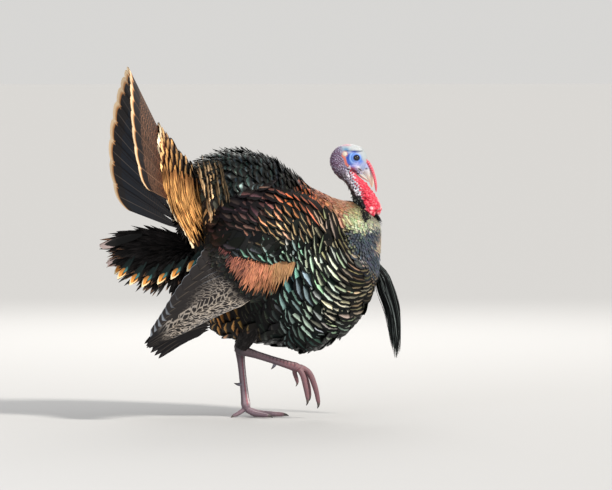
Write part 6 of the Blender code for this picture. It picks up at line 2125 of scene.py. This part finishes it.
tailData = tailMesh()
tailData.materials.append(tailMaterial())
settle(addObject("tail_feathers", tailData), "plumage_tail", "tail_fan")
settle(layTract("upper_covert_feathers", joinTracts(covertFeathers(), plumeFeathers()), covertVane),
       "plumage_tan", "tail_coverts_upper")
settle(layTract("under_covert_feathers", underFeathers(), covertVane), "plumage_black", "tail_coverts_under")

layOnSkin()
hardParts()
beardData = beardMesh()
bristle = hornMaterial("bristle", 0.45, 0.0)
bristle.node_tree.nodes["Principled BSDF"].inputs["Specular IOR Level"].default_value = 0.06
beardData.materials.append(bristle)
settle(addObject("beard_bristles", beardData), "beard", "beard")

for blade in list(bladeLibrary.objects):
    bpy.data.objects.remove(blade)
bpy.data.collections.remove(bladeLibrary)


# camera, lights and floor
view = {"azimuth": -4.2, "elevation": 2.5, "distance": 12.0, "target": (0.129, 0.0, 0.398), "sensor": 36.0,
        "lens": 306.9}
stageLook = {"sunPower": 3.4, "sunSpread": 9, "sunColour": (1.0, 0.95, 0.86), "sunAim": (-0.66, 0.62, -0.68),
             "sky": (0.9, 0.89, 0.87, 1), "skyPower": 0.76, "floor": (0.515, 0.518, 0.528, 1),
             "floorReach": 60}
areaLights = {"fill": ((-2.8, -3.6, 1.6), (0, 0, 0.35), 2.6, 46, (0.9, 0.94, 1.0)),
              "rim": ((0.2, 3.6, 2.6), (0, 0, 0.45), 2.4, 60, (1.0, 0.97, 0.92))}


def addCamera():
    data = bpy.data.cameras.new("camera")
    camera = bpy.data.objects.new("camera", data)
    bpy.context.scene.collection.objects.link(camera)
    azimuth, elevation = math.radians(view["azimuth"]), math.radians(view["elevation"])
    target = Vector((view["target"][0] + rowShift, *view["target"][1:]))
    back = Vector((math.sin(azimuth) * math.cos(elevation), -math.cos(azimuth) * math.cos(elevation),
                   math.sin(elevation)))
    camera.location = target + back * view["distance"]
    camera.rotation_euler = (-back).to_track_quat("-Z", "Y").to_euler()
    data.sensor_width, data.lens = view["sensor"], view["lens"]
    data.clip_start, data.clip_end = 0.1, 200.0
    bpy.context.scene.camera = camera


def addLight(name, place, target, size, power, colour):
    data = bpy.data.lights.new(name, "AREA")
    data.shape, data.size, data.energy, data.color = "DISK", size, power, colour
    lamp = bpy.data.objects.new(name, data)
    bpy.context.scene.collection.objects.link(lamp)
    lamp.location = place
    lamp.rotation_euler = (Vector(target) - Vector(place)).to_track_quat("-Z", "Y").to_euler()
    lamp.visible_camera = False


def addStage():
    sun = bpy.data.lights.new("key", "SUN")
    sun.energy, sun.angle = stageLook["sunPower"], math.radians(stageLook["sunSpread"])
    sun.color = stageLook["sunColour"]
    lamp = bpy.data.objects.new("key", sun)
    bpy.context.scene.collection.objects.link(lamp)
    lamp.rotation_euler = Vector(stageLook["sunAim"]).to_track_quat("-Z", "Y").to_euler()
    for name, spec in areaLights.items():
        addLight(name, *spec)
    world = bpy.data.worlds.new("sky")
    world.use_nodes = True
    world.node_tree.nodes["Background"].inputs[0].default_value = stageLook["sky"]
    world.node_tree.nodes["Background"].inputs[1].default_value = stageLook["skyPower"]
    bpy.context.scene.world = world
    reach = stageLook["floorReach"]
    corners = [(x * reach, y * reach, 0) for x, y in ((-1, -1), (1, -1), (1, 1), (-1, 1))]
    floor = addObject("floor", meshFrom("floor", corners, [(0, 1, 2, 3)]))
    paint, _, _ = newMaterial("floorPaint", 0.9)
    paint.node_tree.nodes["Principled BSDF"].inputs["Base Color"].default_value = stageLook["floor"]
    floor.data.materials.append(paint)


addCamera()
addStage()
bpy.context.scene.view_settings.view_transform = "Standard"
print("camera, lights and floor ready")
